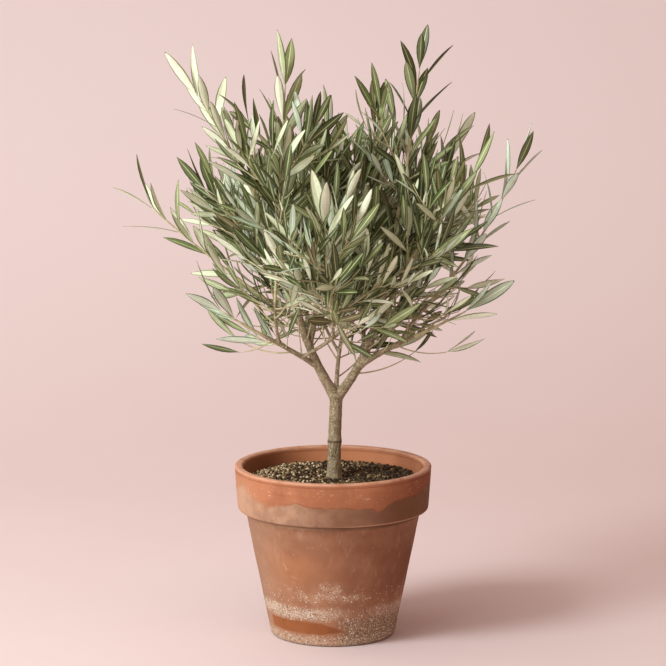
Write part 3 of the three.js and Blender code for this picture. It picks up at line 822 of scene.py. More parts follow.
def bark_finish():
    bark = Finish("olive_bark", 0.85, 0.25)
    skin = bark.blend(bark.clouds(9.0, 0.35, 0.65), colour(0x857A5F), colour(0xA0947A))
    skin = bark.coat(skin, 0x7C7458, bark.streaks(2.2, 14.0, 0.5, 0.68))
    skin = bark.coat(skin, 0xCFC5AA, bark.speckles(1.7, 0.36), 0.72)
    skin = bark.coat(skin, 0x4E4229, bark.speckles(1.5, 0.26), 0.72)

    # A dark scar runs round the knuckle, with moss under it.
    ring = TRUNK["foot"][2] + TRUNK["knuckle_height"] + 1.6
    skin = bark.coat(skin, 0x3B3020, bark.band(ring - 1.3, ring + 1.3, 0.8, 0.4, 5.0), 0.8)
    moss = bark.band(ring - 22, ring - 13, 2.5, 2.0, 7.0)
    skin = bark.coat(skin, 0x4B4A2C, moss, bark.clouds(4.0, 0.48, 0.6), 0.8)
    return bark.made(skin, bark.grain(1.1, 0.5), 0.3)


# ---------------------------------------------------------------- pot


def inner_radius(z):
    """The pot's inside radius at a height."""
    if z < RIM_FOOT:
        share = (z - POT["floor"]) / (RIM_FOOT - POT["floor"])
        return mix((POT["inner_floor"], POT["inner_shoulder"]), share)
    return mix((POT["inner_shoulder"], POT["inner_lip"]), (z - RIM_FOOT) / RIM_DEPTH)


def fill_gap(outline, end):
    """Adds even points to an outline, up to its end but not at it."""
    steps = whole(np.linalg.norm(end - outline[-1]) / POT["point_step"])
    for k in range(1, steps):
        outline.append(outline[-1] + (end - outline[-1]) / (steps - k + 1))


def wall_profile():
    """The pot wall's outline as radius and height, from the drain hole round and back to it."""
    round_off = POT["rounding"]
    corners = [  # radius, height, how much the corner is rounded
        (POT["drain"], 0, 1.0),
        (POT["foot"], 0, round_off),
        (POT["shoulder"], RIM_FOOT, 1.2),
        (POT["rim_foot"], RIM_FOOT, round_off),
        (LIP, POT_HEIGHT, round_off),
        (POT["inner_lip"], POT_HEIGHT, round_off),
        (POT["inner_shoulder"], RIM_FOOT, 8.0),
        (POT["inner_floor"], POT["floor"], 6.0),
        (POT["drain"], POT["floor"], 1.0),
    ]
    outline = []
    count = len(corners)
    for i, (radius, height, size) in enumerate(corners):
        here = np.array([radius, height], float)
        before = np.array(corners[i - 1][:2], float)
        after = np.array(corners[(i + 1) % count][:2], float)
        arrive = here - unit(here - before) * size
        leave = here + unit(after - here) * size
        if outline:
            fill_gap(outline, arrive)
        for t in np.arange(POT["corner_steps"] + 1) / POT["corner_steps"]:
            outline.append(arrive * (1 - t) ** 2 + here * 2 * t * (1 - t) + leave * t**2)
    fill_gap(outline, outline[0])
    return np.array(outline)


def thrown(radius, z, x, y):
    """How much the wall strays from its true radius: soft waves, throwing lines and grooves."""
    waves = unevenness(0.45, 70, x, y, z * 1.6)
    lines = 0.07 * math.sin(z * 1.9 + unevenness(2, 40, x, y, z))
    rough = unevenness(0.16, 5, x, y, z)
    cut = 0
    if radius > POT["inner_lip"] + 2 and z > RIM_FOOT:
        for down, depth, half in GROOVES:
            cut -= depth * math.exp(-(((POT_HEIGHT - down - z) / half) ** 2))
    return waves + lines + rough + cut


def build_pot():
    profile = wall_profile()
    sides = POT["sides"]
    turn = np.arange(sides) * (2 * math.pi / sides)
    points = []
    for radius, z in profile:
        for a in turn:
            upright = min(1.0, z / 6)  # the flat base stays true
            r = radius + upright * thrown(radius, z, *round_at(radius, a))
            points.append((*round_at(r, a), z))
    pot = mesh_object("clay_pot", points, quads_between(len(profile), sides, closed=True))
    set_in_place(pot, "clay", ["pot"], clay_finish())


# ---------------------------------------------------------------- soil and grit


def mound(x, y):
    """Height of the soil: a dished mound that the heaps rise from, a little uneven all over."""
    r = math.hypot(x, y)
    wall = inner_radius(SOIL["edge"])
    climb = min(1.0, max(0.0, (r - SOIL["flat"]) / (SOIL["mound"] - SOIL["flat"])))
    fall = min(1.0, max(0.0, (r - SOIL["mound"]) / (wall - SOIL["mound"])))
    z = mix((mix((SOIL["centre"], SOIL["shoulder"]), climb), SOIL["edge"]), fall)
    heaps = 0.0
    for bearing, distance, height, breadth in HEAPS:
        top_x, top_y = round_at(distance, math.radians(bearing))
        off = math.hypot(x - top_x, y - top_y)
        heaps += height * math.exp(-((off / breadth) ** 2))
    return z + heaps * min(1.0, 3 * climb) * (1 - fall) + unevenness(0.7, 9, x, y, 8)


def build_soil_bed():
    edge = inner_radius(SOIL["edge"]) - BED["gap"]
    low = SOIL["edge"] - SOIL["skirt"]
    rings = BED["rings"]
    sides = BED["sides"]
    turns = [2 * math.pi * j / sides for j in range(sides)]
    points = [(0, 0, SOIL["centre"] - BED["sunk"])]
    for i in range(1, rings + 1):
        for a in turns:
            x, y = round_at(edge * i / rings, a)
            points.append((x, y, mound(x, y) - BED["sunk"]))
    points += [(*round_at(inner_radius(low) - BED["gap"], a), low) for a in turns]
    points.append((0, 0, low))
    quads = 1 + quads_between(rings + 1, sides)[:, [0, 3, 2, 1]]
    ring = np.arange(sides)
    around = (ring + 1) % sides
    last = 1 + rings * sides
    top = np.stack([np.zeros(sides, int), 1 + ring, 1 + around], -1)
    under = np.stack([np.full(sides, last + sides), last + around, last + ring], -1)
    bed = mesh_object("soil_bed", points, [quads, top, under])
    set_in_place(bed, "grit", ["soil"], soil_finish())


def pebble():
    """A cube cut once each way and blown round: 26 points and 24 quads."""
    points = []
    index = {}

    def at(p):
        if p not in index:
            index[p] = len(points)
            points.append(p)
        return index[p]

    quads = []
    for axis in range(3):
        for end in (-1, 1):
            for u in (-1, 0):
                for v in (-1, 0):
                    ring = [(u, v), (u + 1, v), (u + 1, v + 1), (u, v + 1)]
                    if end < 0:
                        ring.reverse()
                    quad = []
                    for a, b in ring:
                        p = [0, 0, 0]
                        p[axis], p[(axis + 1) % 3], p[(axis + 2) % 3] = end, a, b
                        quad.append(at(tuple(p)))
                    quads.append(quad)
    places = np.array(points, float)
    places /= np.linalg.norm(places, axis=1)[:, None]
    return places, np.array(quads)


def random_turns(lot, count):
    """Rotation matrices spread evenly over every direction."""
    q = lot.normal(size=(count, 4))
    q /= np.linalg.norm(q, axis=1)[:, None]
    w, x, y, z = q.T
    rows = [
        [1 - 2 * (y * y + z * z), 2 * (x * y - z * w), 2 * (x * z + y * w)],
        [2 * (x * y + z * w), 1 - 2 * (x * x + z * z), 2 * (y * z - x * w)],
        [2 * (x * z - y * w), 2 * (y * z + x * w), 1 - 2 * (x * x + y * y)],
    ]
    return np.array(rows).transpose(2, 0, 1)


GRIT_TINTS = [  # name, colour, worn colour, how often
    ("grit_dark", 0x281D12, 0x392C1B, 0.42),
    ("grit_olive", 0x52452D, 0x635539, 0.3),
    ("grit_tan", 0x897451, 0xA08A63, 0.18),
    ("grit_cream", 0xC5B48F, 0xDBCEAD, 0.1),
]


def build_grit():
    lot = np.random.default_rng(GRIT["seed"])
    edge = inner_radius(SOIL["edge"]) - GRIT["edge_gap"]
    clear = TRUNK["radius"][0] + GRIT["trunk_gap"]
    step = GRIT["spacing"]
    pitch = step * GRIT["row"]
    places = []
    rows = int(edge / pitch) + 1
    for row in range(-rows, rows + 1):
        for k in range(-rows - 4, rows + 5):
            x = (k + 0.5 * (row % 2)) * step + lot.uniform(*GRIT["stray"]) * step
            y = row * step * GRIT["row"] + lot.uniform(*GRIT["stray"]) * step
            if math.hypot(x, y) > edge or math.hypot(x - TRUNK["foot"][0], y) < clear:
                continue
            z = mound(x, y) + lot.uniform(*GRIT["depth"])
            places.append((x, y, z))
            if lot.random() < GRIT["loose"]:
                places.append((x + step * 0.5, y + step * 0.3, z + GRIT["loose_lift"]))
    places = np.array(places)
    count = len(places)
    shape, quads = pebble()
    sizes = lot.uniform(*GRIT["radius"], size=(count, 1)) * lot.uniform(0.82, 1.1, size=(count, 3))
    lumps = 1 + 0.1 * lot.normal(size=(count, len(shape), 1)).clip(-1.5, 1.5)
    turns = random_turns(lot, count)
    grains = np.einsum("nij,nkj->nki", turns, shape[None] * lumps * sizes[:, None])
    grains += places[:, None]
    patches = [unevenness(1, 18, x, y, 5) for x, y, _ in places]
    # Painted shade: the term in x makes grains darker towards +X, the side away from the light.
    fate = lot.random(count) + 0.22 * np.array(patches) - 0.34 * places[:, 0] / edge - 0.04
    limits = np.cumsum([0] + [tint[3] for tint in GRIT_TINTS])
    limits[0], limits[-1] = -9, 9
    for i, (name, plain, worn, _) in enumerate(GRIT_TINTS):
        mine = (fate >= limits[i]) & (fate < limits[i + 1])
        points = grains[mine].reshape(-1, 3)
        faces = (quads[None] + np.arange(mine.sum())[:, None, None] * len(shape)).reshape(-1, 4)
        piece = mesh_object(name, points, faces)
        set_in_place(piece, "grit", ["soil"], grit_finish(name, plain, worn))


# ---------------------------------------------------------------- limbs and bark

BARK = {
    "sides": 24,
    "step": 2.0,
    "overlap": 1.0,  # of a bough past its tip, into the stem
    "apart": 400,  # between the relief of one limb and the next
    "voxel": 0.66,
    "quick_voxel": 1.2,
    "ease": 6,
    "full_relief": 6,  # the radius from which the relief has its full depth
}
JOINTS = {"start": 9, "spacing": 27, "half": 1.8, "swell": 0.07}

class Limb:
    """The trunk or a bough: its course, and its radius from root to tip."""

    number = -1  # what the ground calls every limb

    def __init__(self, start, heading, rise, length, radius):
        first = aim(heading[0], rise[0])
        last = aim(heading[1], rise[1])
        self.course = Course(start, first, last, length, COURSE_STEP)
        self.length = length
        self.radius = radius
        self.parent_radius = 0.0

    def radius_at(self, distance):
        return mix(self.radius, distance / self.length)


def trunk_radius(distance):
    taper = mix(TRUNK["radius"], distance / TRUNK["length"])
    foot = TRUNK["flare"] * math.exp(-2 * distance / TRUNK["flare_height"])
    away = (distance - TRUNK["knuckle_height"]) / TRUNK["knuckle_depth"]
    return taper + foot + TRUNK["knuckle"] * math.exp(-(away**2))


def lay_out_limbs():
    foot = np.array(TRUNK["foot"], float)
    trunk = Limb(foot, (0, 0), TRUNK["rise"], TRUNK["length"], TRUNK["radius"])
    trunk.radius_at = trunk_radius
    limbs = {"trunk": trunk}
    for name, parent_name, at, heading, rise, length, radius in BOUGHS:
        parent = limbs[parent_name]
        root = parent.course.station(at)[0]
        limb = Limb(root, heading, rise, length, radius)
        limb.parent_radius = parent.radius_at(at)
        limbs[name] = limb
    return limbs


def tube(at, along, radii, sides):
    """Points and faces of a closed tube through the stations, one radius for each."""
    count = len(at)
    across = np.zeros((count, 3))
    across[0] = square_to(along[0])
    for i in range(1, count):
        across[i] = unit(across[i - 1] - along[i] * (across[i - 1] @ along[i]))
    over = np.cross(across, along)
    turn = np.arange(sides) * (2 * math.pi / sides)
    cosine = np.cos(turn)[None, :, None]
    sine = np.sin(turn)[None, :, None]
    ring = across[:, None] * cosine - over[:, None] * sine
    points = (at[:, None] + ring * np.asarray(radii)[:, None, None]).reshape(-1, 3)
    points = np.concatenate([points, at[:1], at[-1:]])
    first, last = count * sides, count * sides + 1
    k = np.arange(sides)
    n = (k + 1) % sides
    base = (count - 1) * sides
    start = np.stack([np.full(sides, first), n, k], -1)
    end = np.stack([np.full(sides, last), base + k, base + n], -1)
    return points, quads_between(count, sides), np.concatenate([start, end])


def joined(tubes):
    """Many tubes as one set of points, quads and triangles."""
    points, quads, triangles = [], [], []
    offset = 0
    for p, q, t in tubes:
        points.append(p)
        quads.append(q + offset)
        triangles.append(t + offset)
        offset += len(p)
    return np.concatenate(points), [np.concatenate(quads), np.concatenate(triangles)]


def swelling(limb, distance):
    """A bough is wider where it leaves its parent, and at old leaf joints along it."""
    if not limb.parent_radius:
        return 0.0
    collar = 0.32 * limb.radius[0] * math.exp(-distance / (1.1 * limb.parent_radius + 1e-6))
    off = (distance + JOINTS["start"]) % JOINTS["spacing"] - JOINTS["spacing"] / 2
    return collar + JOINTS["swell"] * limb.radius[0] * math.exp(-((off / JOINTS["half"]) ** 2))


def build_bark(limbs):
    tubes = []
    marks = []  # where the relief runs: place, direction, square directions, distance, radius
    for number, limb in enumerate(limbs.values()):
        reach = limb.length + (BARK["overlap"] if limb.parent_radius else 0.0)
        distances = np.linspace(0.0, reach, whole(reach / BARK["step"]) + 1)
        stations = [limb.course.station(d) for d in distances]
        at = np.array([s[0] for s in stations])
        along = np.array([s[1] for s in stations])
        radii = [limb.radius_at(min(d, limb.length)) + swelling(limb, d) for d in distances]
        tubes.append(tube(at, along, radii, BARK["sides"]))
        across = square_to(along[0])
        for d, p, a, r in zip(distances, at, along, radii):
            across = unit(across - a * (across @ a))
            marks.append((p, a, across, np.cross(a, across), d + BARK["apart"] * number, r))
    rough = mesh_object("bark_form", *joined(tubes))
    remesh = rough.modifiers.new("skin", "REMESH")
    remesh.mode = "VOXEL"
    remesh.voxel_size = BARK["voxel"] * MM
    skin = applied(rough)
    bpy.data.objects.remove(rough)
    bark = new_object("bark", skin)
    skin.name = "bark"
    smooth_over(bark, BARK["ease"])
    carve_bark(bark.data, marks)
    smooth_shaded(bark.data)
    set_in_place(bark, "bark", LIMBS, bark_finish())


def smooth_over(piece, times):
    """Rounds the creases where limbs meet."""
    modifier = piece.modifiers.new("ease", "SMOOTH")
    modifier.factor = 0.5
    modifier.iterations = times
    eased = applied(piece)
    piece.modifiers.clear()
    old = piece.data
    piece.data = eased
    bpy.data.meshes.remove(old)


def carve_bark(mesh, marks):
    """Moves each point along its normal: long shallow ridges, lumps and small pores."""
    tree = kdtree.KDTree(len(marks))
    for i, mark in enumerate(marks):
        tree.insert(mark[0], i)
    tree.balance()
    co = vectors_of(mesh, "co")
    normals = vectors_of(mesh, "normal")
    moved = np.zeros(len(co))
    for v, place in enumerate(co):
        p = place / MM
        at, along, across, over, distance, radius = marks[tree.find(p)[1]]
        out = p - at
        s = distance + out @ along
        u, w = out @ across, out @ over

        def relief(fine_across, fine_along, shift=0):
            return noise.noise(Vector((u * fine_across, w * fine_across, s * fine_along + shift)))

        form = 0.3 * relief(0.9, 0.16) + 0.42 * relief(0.35, 0.09)
        pores = 0.34 * max(0.0, relief(1.7, 1.1, 50) - 0.25)
        moved[v] = min(1.0, radius / BARK["full_relief"]) * (form - pores)
    co += normals * (moved * MM)[:, None]
    mesh.vertices.foreach_set("co", co.astype(np.float32).ravel())
    mesh.update()


# ---------------------------------------------------------------- growing the foliage


class Ground:
    """What already grows: straight pieces, each with its breadth and the number of its shoot."""

    def __init__(self, room):
        self.count = 0
        self.start = np.zeros((room, 3))
        self.run = np.zeros((room, 3))
        self.square = np.ones(room)
        self.radius = np.zeros(room)
        self.width = np.zeros(room)
        self.shoot = np.zeros(room, int)

    def take(self, a, b, radius, width, shoot):
        i = self.count
        self.start[i] = a
        self.run[i] = b - a
        self.square[i] = max(float((b - a) @ (b - a)), 1e-9)
        self.radius[i] = radius
        self.width[i] = width
        self.shoot[i] = shoot
        self.count += 1

    def touched(self, points, breadths, shoot, clearance):
        """Whether any of the points, with its breadth, comes against anything but its own shoot."""
        n = self.count
        middle = points.mean(0)
        reach = np.linalg.norm(points - middle, axis=1).max() + LONGEST_PIECE
        close = np.abs(self.start[:n] - middle).max(1) < reach
        near = np.flatnonzero(close & (self.shoot[:n] != shoot))
        if not len(near):
            return False
        away, share = off_pieces(points, self.start[near], self.run[near], self.square[near])
        breadth = self.radius[near] + half_width(self.width[near], share)
        return bool((away < breadths[:, None] + breadth + clearance).any())


def half_width(width, share):
    """A leaf's half width at a share of its length."""
    widest = LEAF["widest"]
    towards_end = np.where(share < widest, share / widest, (1 - share) / (1 - widest))
    return width / 2 * towards_end * LEAF["room"]


class Shoot:
    """One stem, side shoot or twig. Number tells it from the others."""

    def __init__(self, number, course, radius, order):
        self.number = number
        self.course = course
        self.fine = course.finer(FINE_STEP)
        self.radius = radius
        self.order = order
        self.kind = min(order, TWIGLET)  # whose leaves it bears: bare twigs have those of twiglets
        self.leaves = []


class Mass:
    """One mass of foliage, with its shoots and its own dice."""

    def __init__(self, row, number):
        _, self.bough, self.heading, self.rise, self.length, self.spread = row[:6]
        self.side_shoots, self.fine_shoots, self.bough_shoots = row[6:]
        self.shoots = []
        self.roll = dice(SEED + number)

    def outside(self, points):
        """Whether any of the points is farther than the spread from the stem."""
        stem = self.shoots[0].course.at
        run = stem[1:] - stem[:-1]
        away, _ = off_pieces(points, stem[:-1], run, (run * run).sum(1))
        return bool((away.min(1) >= self.spread).any())


class Grower:
    """Grows every mass in turn, so that each new piece keeps clear of all before it."""

    def __init__(self, limbs):
        self.limbs = limbs
        self.ground = Ground(PIECE_ROOM)
        self.count = 0
        for limb in limbs.values():
            for a, b in zip(limb.course.at[:-1], limb.course.at[1:]):
                self.ground.take(a, b, limb.radius[0], 0, -1)
        self.masses = [Mass(row, i) for i, row in enumerate(FOLIAGE)]

    def add(self, mass, course, radius, order):
        shoot = Shoot(self.count, course, radius, order)
        self.count += 1
        mass.shoots.append(shoot)
        for a, b in zip(course.at[:-1], course.at[1:]):
            self.ground.take(a, b, radius[0], 0, shoot.number)
        return shoot

    def stem(self, mass):
        bough = self.limbs[mass.bough]
        at, along = bough.course.at[-1], bough.course.along[-1]
        end = aim(mass.heading, mass.rise)
        course = Course(at + along * GAP, along, end, mass.length, STEM_STEP)
        self.add(mass, course, (bough.radius[1], STEM_TIP), STEM)

    def side_growth(self, mass, carrier, rule, count, order):
        """Shoots that leave a carrier at even steps round and along it, where there is room."""
        roll = mass.roll
        course = carrier.course
        for i in range(count):
            share = mix(rule["zone"], (i + rule["shift"] * roll()) / count)
            bearing = GOLDEN_ANGLE * i + mix(BEARING_RANGE, roll())
            angle = mix(rule["angle"], share) + mix(rule["angle_range"], roll())
            length = mix(rule["length"], share) * mix(rule["length_range"], roll())
            at, along = course.station(share * course.length)
            first = leaning(along, angle, bearing)
            last = first + np.array([0, 0, mix(rule["lift"], share)])
            line = Course(at, first, unit(last), length, SHOOT_STEP)
            tests = max(1, whole((length - CLEAR_OF_STEM) / TEST_STEP))
            distances = np.linspace(CLEAR_OF_STEM, length, tests + 1)
            points = np.array([line.station(d)[0] for d in distances])
            breadths = np.full(len(points), rule["radius"][0])
            touched = self.ground.touched(points, breadths, carrier.number, rule["clearance"])
            if touched or mass.outside(points):
                continue
            self.add(mass, line, rule["radius"], order)

    def leaf(self, mass, shoot, at, along, angle, bearing, longest=1.0):
        """Whether a leaf found room. None is longer than that share of its own length."""
        roll = mass.roll
        direction = leaning(along, angle, bearing)
        direction[2] += LEAF["lift"]
        direction = unit(direction)
        length = mix(LEAF["length"][shoot.kind], roll()) * longest
        face = unit(along - direction * (along @ direction))
        face = turned_about(face, direction, mix(LEAF["roll"], roll()))
        width = length * mix(LEAF["width"][shoot.kind], roll())
        tip = at + direction * length
        if mass.outside(tip[None]) or (tip < REACH[0]).any() or (tip > REACH[1]).any():
            return False
        shares = np.arange(LEAF["probe"] / 2, length, LEAF["probe"]) / length
        points = at + direction[None] * (shares * length)[:, None]
        if self.ground.touched(points, half_width(width, shares), shoot.number, LEAF["clearance"]):
            return False
        shoot.leaves.append((at, direction, face, length, width))
        self.ground.take(at, tip, 0, width, shoot.number)
        return True

    def leaves(self, mass, shoot):
        """Leaves in pairs, each pair square to the one before, with a close pair at the end."""
        roll = mass.roll
        end = shoot.course.length - LAST_LEAF
        start = end if shoot.order == BARE else FIRST_LEAF[shoot.order]
        spaces = (end - start) / LEAF["internode"][shoot.kind]
        steps = max(1, int(spaces)) if end > start else 0
        turn = 90 * roll()
        for i, distance in enumerate(np.linspace(start, end, steps + 1)):
            at, along = shoot.fine.station(distance)
            angles = LEAF["tip_angle"] if i == steps else LEAF["angle"]
            for side in (0, 180):
                for longest in LEAF["tries"]:
                    bearing = turn + 90 * i + side + mix(LEAF["turn"], roll())
                    if self.leaf(mass, shoot, at, along, mix(angles, roll()), bearing, longest):
                        break

    def grow(self):
        for mass in self.masses:
            self.stem(mass)
        for mass in self.masses:
            self.side_growth(mass, mass.shoots[0], SIDE_SHOOTS, mass.side_shoots, SIDE_SHOOT)
        for number, mass in enumerate(self.masses):
            mass.roll = dice(FINER_SEED + number)
        for mass in self.masses:
            self.side_growth(mass, mass.shoots[0], FINE_SHOOTS, mass.fine_shoots, FINE_SHOOT)
        for mass in self.masses:
            bough = self.limbs[mass.bough]
            self.side_growth(mass, bough, BOUGH_SHOOTS, mass.bough_shoots, FINE_SHOOT)
        for mass in self.masses:
            self.side_growth(mass, self.limbs[mass.bough], BARE_TWIGS, BARE_TWIG_COUNT, BARE)
        for mass in self.masses:
            for carrier in [s for s in mass.shoots if s.order == SIDE_SHOOT]:
                count = whole(carrier.course.length / TWIGLET_SPACING)
                self.side_growth(mass, carrier, TWIGLETS, count, TWIGLET)
        for order in range(BARE + 1):
            for mass in self.masses:
                for shoot in mass.shoots:
                    if shoot.order == order:
                        self.leaves(mass, shoot)
        return self.masses


# ---------------------------------------------------------------- twigs and leaves as meshes


def build_twigs(masses):
    tubes = []
    for mass in masses:
        for shoot in mass.shoots:
            line = shoot.fine
            count = len(line.at)
            radii = np.linspace(shoot.radius[0], shoot.radius[1] * 0.8, count)
            at = line.at.copy()
            if shoot.order == STEM:
                at[0] -= line.along[0] * STEM_OVERLAP
            tubes.append(tube(at, line.along, radii, 10 if shoot.order == STEM else 6))
    set_in_place(mesh_object("twigs", *joined(tubes)), "bark", MASSES, twig_finish())


RIB = 0.1  # the midrib's share of a leaf's half width
MARGIN = 0.78  # where the dark edge begins, as a share of it
STALK = 0.06  # the stalk's share of a leaf's length
STATIONS = np.array([0, 0.05, 0.14, 0.28, 0.44, 0.6, 0.76, 0.89, 0.97, 1.0])
SHEETS = [  # a ring round the leaf: how far across, and which face
    (-1.0, 0),
    (-MARGIN, 1),
    (-RIB, 1),
    (RIB, 1),
    (MARGIN, 1),
    (1.0, 0),
    (MARGIN, -1),
    (RIB, -1),
    (-RIB, -1),
    (-MARGIN, -1),
]
UPPER, MIDRIB, UNDER, EDGE = range(4)
STRIPS = [EDGE, UPPER, MIDRIB, UPPER, EDGE, EDGE, UNDER, MIDRIB, UNDER, EDGE]


LEAF_FORM = [  # the range of each leaf's own form
    (-0.05, 0.14),  # bend down at its tip, as a share of its length
    (-0.06, 0.06),  # sway to the side there
    (-30, 30),  # twist, in degrees
    (0.1, 0.4),  # fold: how far its margins rise, as a share of its half width
    (0.0, 1.0),  # fullness
]


def leaf_outline(t, fullness):
    """Half width at a share of the length, for a leaf of width 2. A full leaf is broad past its
    middle."""
    blade = np.clip((t - STALK) / (1 - STALK), 0, 1)
    base = 0.75 + 0.45 * fullness
    tip = 1.0 - 0.25 * fullness
    widest = base / (base + tip)
    return blade**base * (1 - blade) ** tip / (widest**base * (1 - widest) ** tip)


def leaf_faces():
    ring = len(SHEETS)
    quads = []
    kinds = []
    for i in range(len(STATIONS) - 1):
        for k in range(ring):
            n = (k + 1) % ring
            quads.append([i * ring + k, i * ring + n, (i + 1) * ring + n, (i + 1) * ring + k])
            kind = STRIPS[k]
            if STATIONS[i + 1] <= STALK:
                kind = MIDRIB
            if i == len(STATIONS) - 2:
                kind = EDGE
            kinds.append(kind)
    last = (len(STATIONS) - 1) * ring
    ends = [list(range(ring))[::-1], [last + k for k in range(ring)]]
    return np.array(quads), np.array(ends), np.array(kinds + [MIDRIB, EDGE])


def leaf_points(leaves, lot):
    """Points of every leaf: folded along its midrib, curved and twisted a little along its length."""
    root, direction, face, length, width = (np.array(column) for column in zip(*leaves))
    across = np.cross(direction, face)
    count = len(leaves)
    bend, sway, twist, fold, fullness = (lot.uniform(*ends, count) for ends in LEAF_FORM)
    twist = np.radians(twist)
    points = np.zeros((count, len(STATIONS), len(SHEETS), 3))
    for i, t in enumerate(STATIONS):
        middle = root + direction * (length * t)[:, None]
        middle = middle - face * (bend * length * t * t)[:, None]
        middle = middle + across * (sway * length * t * t)[:, None]
        turn = twist * t
        wide = across * np.cos(turn)[:, None] + face * np.sin(turn)[:, None]
        tall = face * np.cos(turn)[:, None] - across * np.sin(turn)[:, None]
        half = np.maximum(width / 2 * leaf_outline(t, fullness), 0.12 if t > 0.9 else 0.5)
        thick = mix((0.55, 0.3), t)
        for k, (s, layer) in enumerate(SHEETS):
            spread = half * s
            lift = fold * (abs(s) * half) + layer * thick * (1.0 if layer > 0 else 1.3) * 0.5
            points[:, i, k] = middle + wide * spread[:, None] + tall * lift[:, None]
    return points.reshape(-1, 3)


LEAF_TINTS = [  # name, upper, midrib, under, edge, how often on stems, how often elsewhere
    ("leaves_deep", 0x47582E, 0xB6BD8C, 0x5E6C46, 0x2C2816, 0.18, 0.22),
    ("leaves_green", 0x6A7E4A, 0xC9CFA2, 0x88986C, 0x413D26, 0.26, 0.19),
    ("leaves_fresh", 0x8A9E68, 0xD2DAB4, 0xA6B58E, 0x545434, 0.16, 0.17),
    ("leaves_silver", 0xCDDDBA, 0xE9F2DC, 0xDBE7CC, 0x777C5C, 0.22, 0.31),
    ("leaves_mint", 0xB4CAB0, 0xDCEAD6, 0xC6D8C2, 0x66745A, 0.16, 0.07),
    ("leaves_olive", 0x64623C, 0xADAC84, 0x7E7C58, 0x3A331F, 0.02, 0.04),
]


LEAF_PARTS = [  # how rough and how shiny
    ("_upper", 0.42, 0.5),
    ("_midrib", 0.6, 0.4),
    ("_under", 0.75, 0.3),
    ("_edge", 0.7, 0.3),
]
OWN_TINT = 0.25  # the share of leaves that don't take their shoot's tint


def build_leaves(masses):
    lot = np.random.default_rng(SEED)
    on_stems = np.cumsum([tint[5] for tint in LEAF_TINTS])
    elsewhere = np.cumsum([tint[6] for tint in LEAF_TINTS])
    sprays = [[] for _ in LEAF_TINTS]
    for mass in masses:
        for shoot in mass.shoots:
            limits = on_stems if shoot.order == STEM else elsewhere
            tint = int(np.searchsorted(limits, lot.random() * limits[-1]))
            for leaf in shoot.leaves:
                own = tint
                if lot.random() < OWN_TINT:
                    own = int(np.searchsorted(limits, lot.random() * limits[-1]))
                sprays[own].append(leaf)
    quads, ends, kinds = leaf_faces()
    size = len(STATIONS) * len(SHEETS)
    ring = len(SHEETS)

    def on_margin(edges):
        a, b = edges[:, 0] % size, edges[:, 1] % size
        left = (a % ring == 0) & (b % ring == 0)
        right = (a % ring == ring // 2) & (b % ring == ring // 2)
        return left | right

    side = len(quads)
    for (name, *colours, _, _), leaves in zip(LEAF_TINTS, sprays):
        count = len(leaves)
        points = leaf_points(leaves, lot)
        offsets = np.arange(count)[:, None, None] * size
        strips = (quads[None] + offsets).reshape(-1, 4)
        caps = (ends[None] + offsets).reshape(-1, ring)
        all_kinds = np.concatenate([np.tile(kinds[:side], count), np.tile(kinds[side:], count)])
        piece = mesh_object(name, points, [strips, caps], all_kinds, on_margin)
        finishes = [
            leaf_finish(name + part, plain, roughness, shine)
            for (part, roughness, shine), plain in zip(LEAF_PARTS, colours)
        ]
        set_in_place(piece, "leaf", MASSES, *finishes)


# ---------------------------------------------------------------- stage, lights and camera


STAGE = {  # in metres: a sheet of paper whose back sweeps up
    "half": 6.0,
    "front": -4.0,
    "back": 0.8,
    "bend": 3.2,
    "sweep": 40,
    "steps": 24,
    "drop": 0.2 * MM,
}
LAMPS = [  # name, place and breadth in metres, watts, colour
    ("key", (-2.7, -1.76, 2.5), 1.5, 116, (0.97, 1.0, 1.0)),
    ("overhead", (-0.8, -0.2, 3.4), 2.6, 38, (1.0, 0.86, 0.8)),
    ("front", (-2.4, -2.8, 1.0), 1.8, 36, (1.0, 0.98, 0.96)),
]
LAMP_TARGET = (0, 0, 0.35)
SKY = {"colour": (1.0, 0.62, 0.52, 1), "strength": 0.5}
CAMERA = {"place": (0, -3.5, 0.955), "dip": 9.23, "lens": 152.16, "sensor": 36}


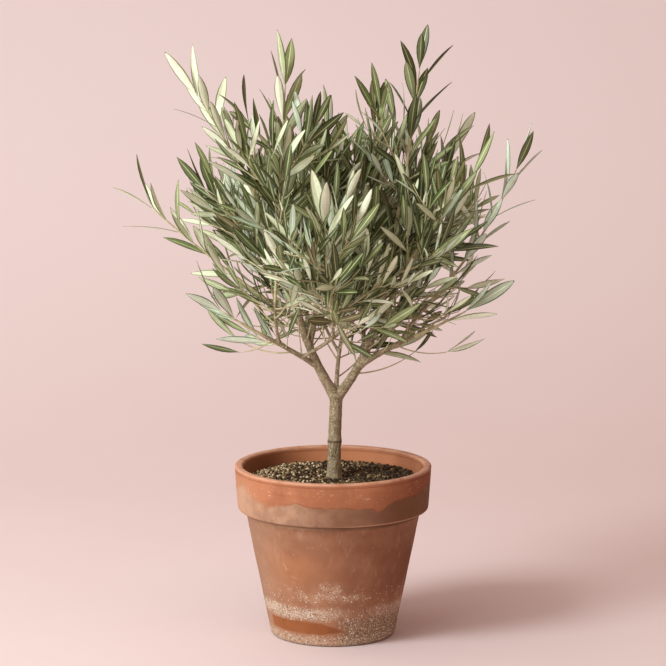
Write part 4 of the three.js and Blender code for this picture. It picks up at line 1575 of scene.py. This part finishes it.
def build_stage():
    """A sheet of paper that curves up behind the tree, low enough to look over from the back."""
    back = STAGE["back"]
    bend = STAGE["bend"]
    profile = [(STAGE["front"], 0.0), (back, 0.0)]
    for i in range(1, STAGE["steps"] + 1):
        a = math.radians(STAGE["sweep"]) * i / STAGE["steps"]
        profile.append((back + bend * math.sin(a), bend * (1 - math.cos(a))))
    points = []
    for y, z in profile:
        for x in (-STAGE["half"], STAGE["half"]):
            points.append((x / MM, y / MM, (z - STAGE["drop"]) / MM))
    rows = len(profile) - 1
    quads = np.array([[2 * i, 2 * i + 1, 2 * i + 3, 2 * i + 2] for i in range(rows)])
    floor = mesh_object("floor", points, quads)
    paper = Finish("pale_paper", 0.95, 0.1)
    sheet = paper.blend(paper.clouds(900.0, 0.3, 0.7), colour(0xDCD3D3), colour(0xD9CFCF))
    along = paper.add("ShaderNodeSeparateXYZ", {"Vector": paper.place}).outputs["Y"]
    far = paper.ramp(along, 900.0, 2600.0)
    paper.feed(paper.shader["Base Color"], paper.coat(sheet, 0xE9E5E7, far))
    floor.data.materials.append(paper.material)


def lamp(name, place, size, watts, tint):
    light = bpy.data.lights.new(name, "AREA")
    light.shape = "DISK"
    light.size = size
    light.energy = watts
    light.color = tint
    made = new_object(name, light)
    made.location = place
    aimed = Vector(LAMP_TARGET) - Vector(place)
    made.rotation_euler = aimed.to_track_quat("-Z", "Y").to_euler()


def build_lights():
    for row in LAMPS:
        lamp(*row)
    world = bpy.data.worlds.new("studio")
    world.use_nodes = True
    sky = world.node_tree.nodes["Background"].inputs
    sky["Color"].default_value = SKY["colour"]
    sky["Strength"].default_value = SKY["strength"]
    scene = bpy.context.scene
    scene.world = world
    scene.view_settings.view_transform = "Standard"
    scene.view_settings.look = "None"


def build_camera():
    lens = bpy.data.cameras.new("camera")
    lens.lens = CAMERA["lens"]
    lens.sensor_width = CAMERA["sensor"]
    camera = new_object("camera", lens)
    camera.location = CAMERA["place"]
    camera.rotation_euler = (math.radians(90 - CAMERA["dip"]), 0, 0)
    bpy.context.scene.camera = camera


build_stage()
build_lights()
build_camera()
build_pot()
build_soil_bed()
build_grit()
limbs = lay_out_limbs()
build_bark(limbs)
masses = Grower(limbs).grow()
build_twigs(masses)
build_leaves(masses)
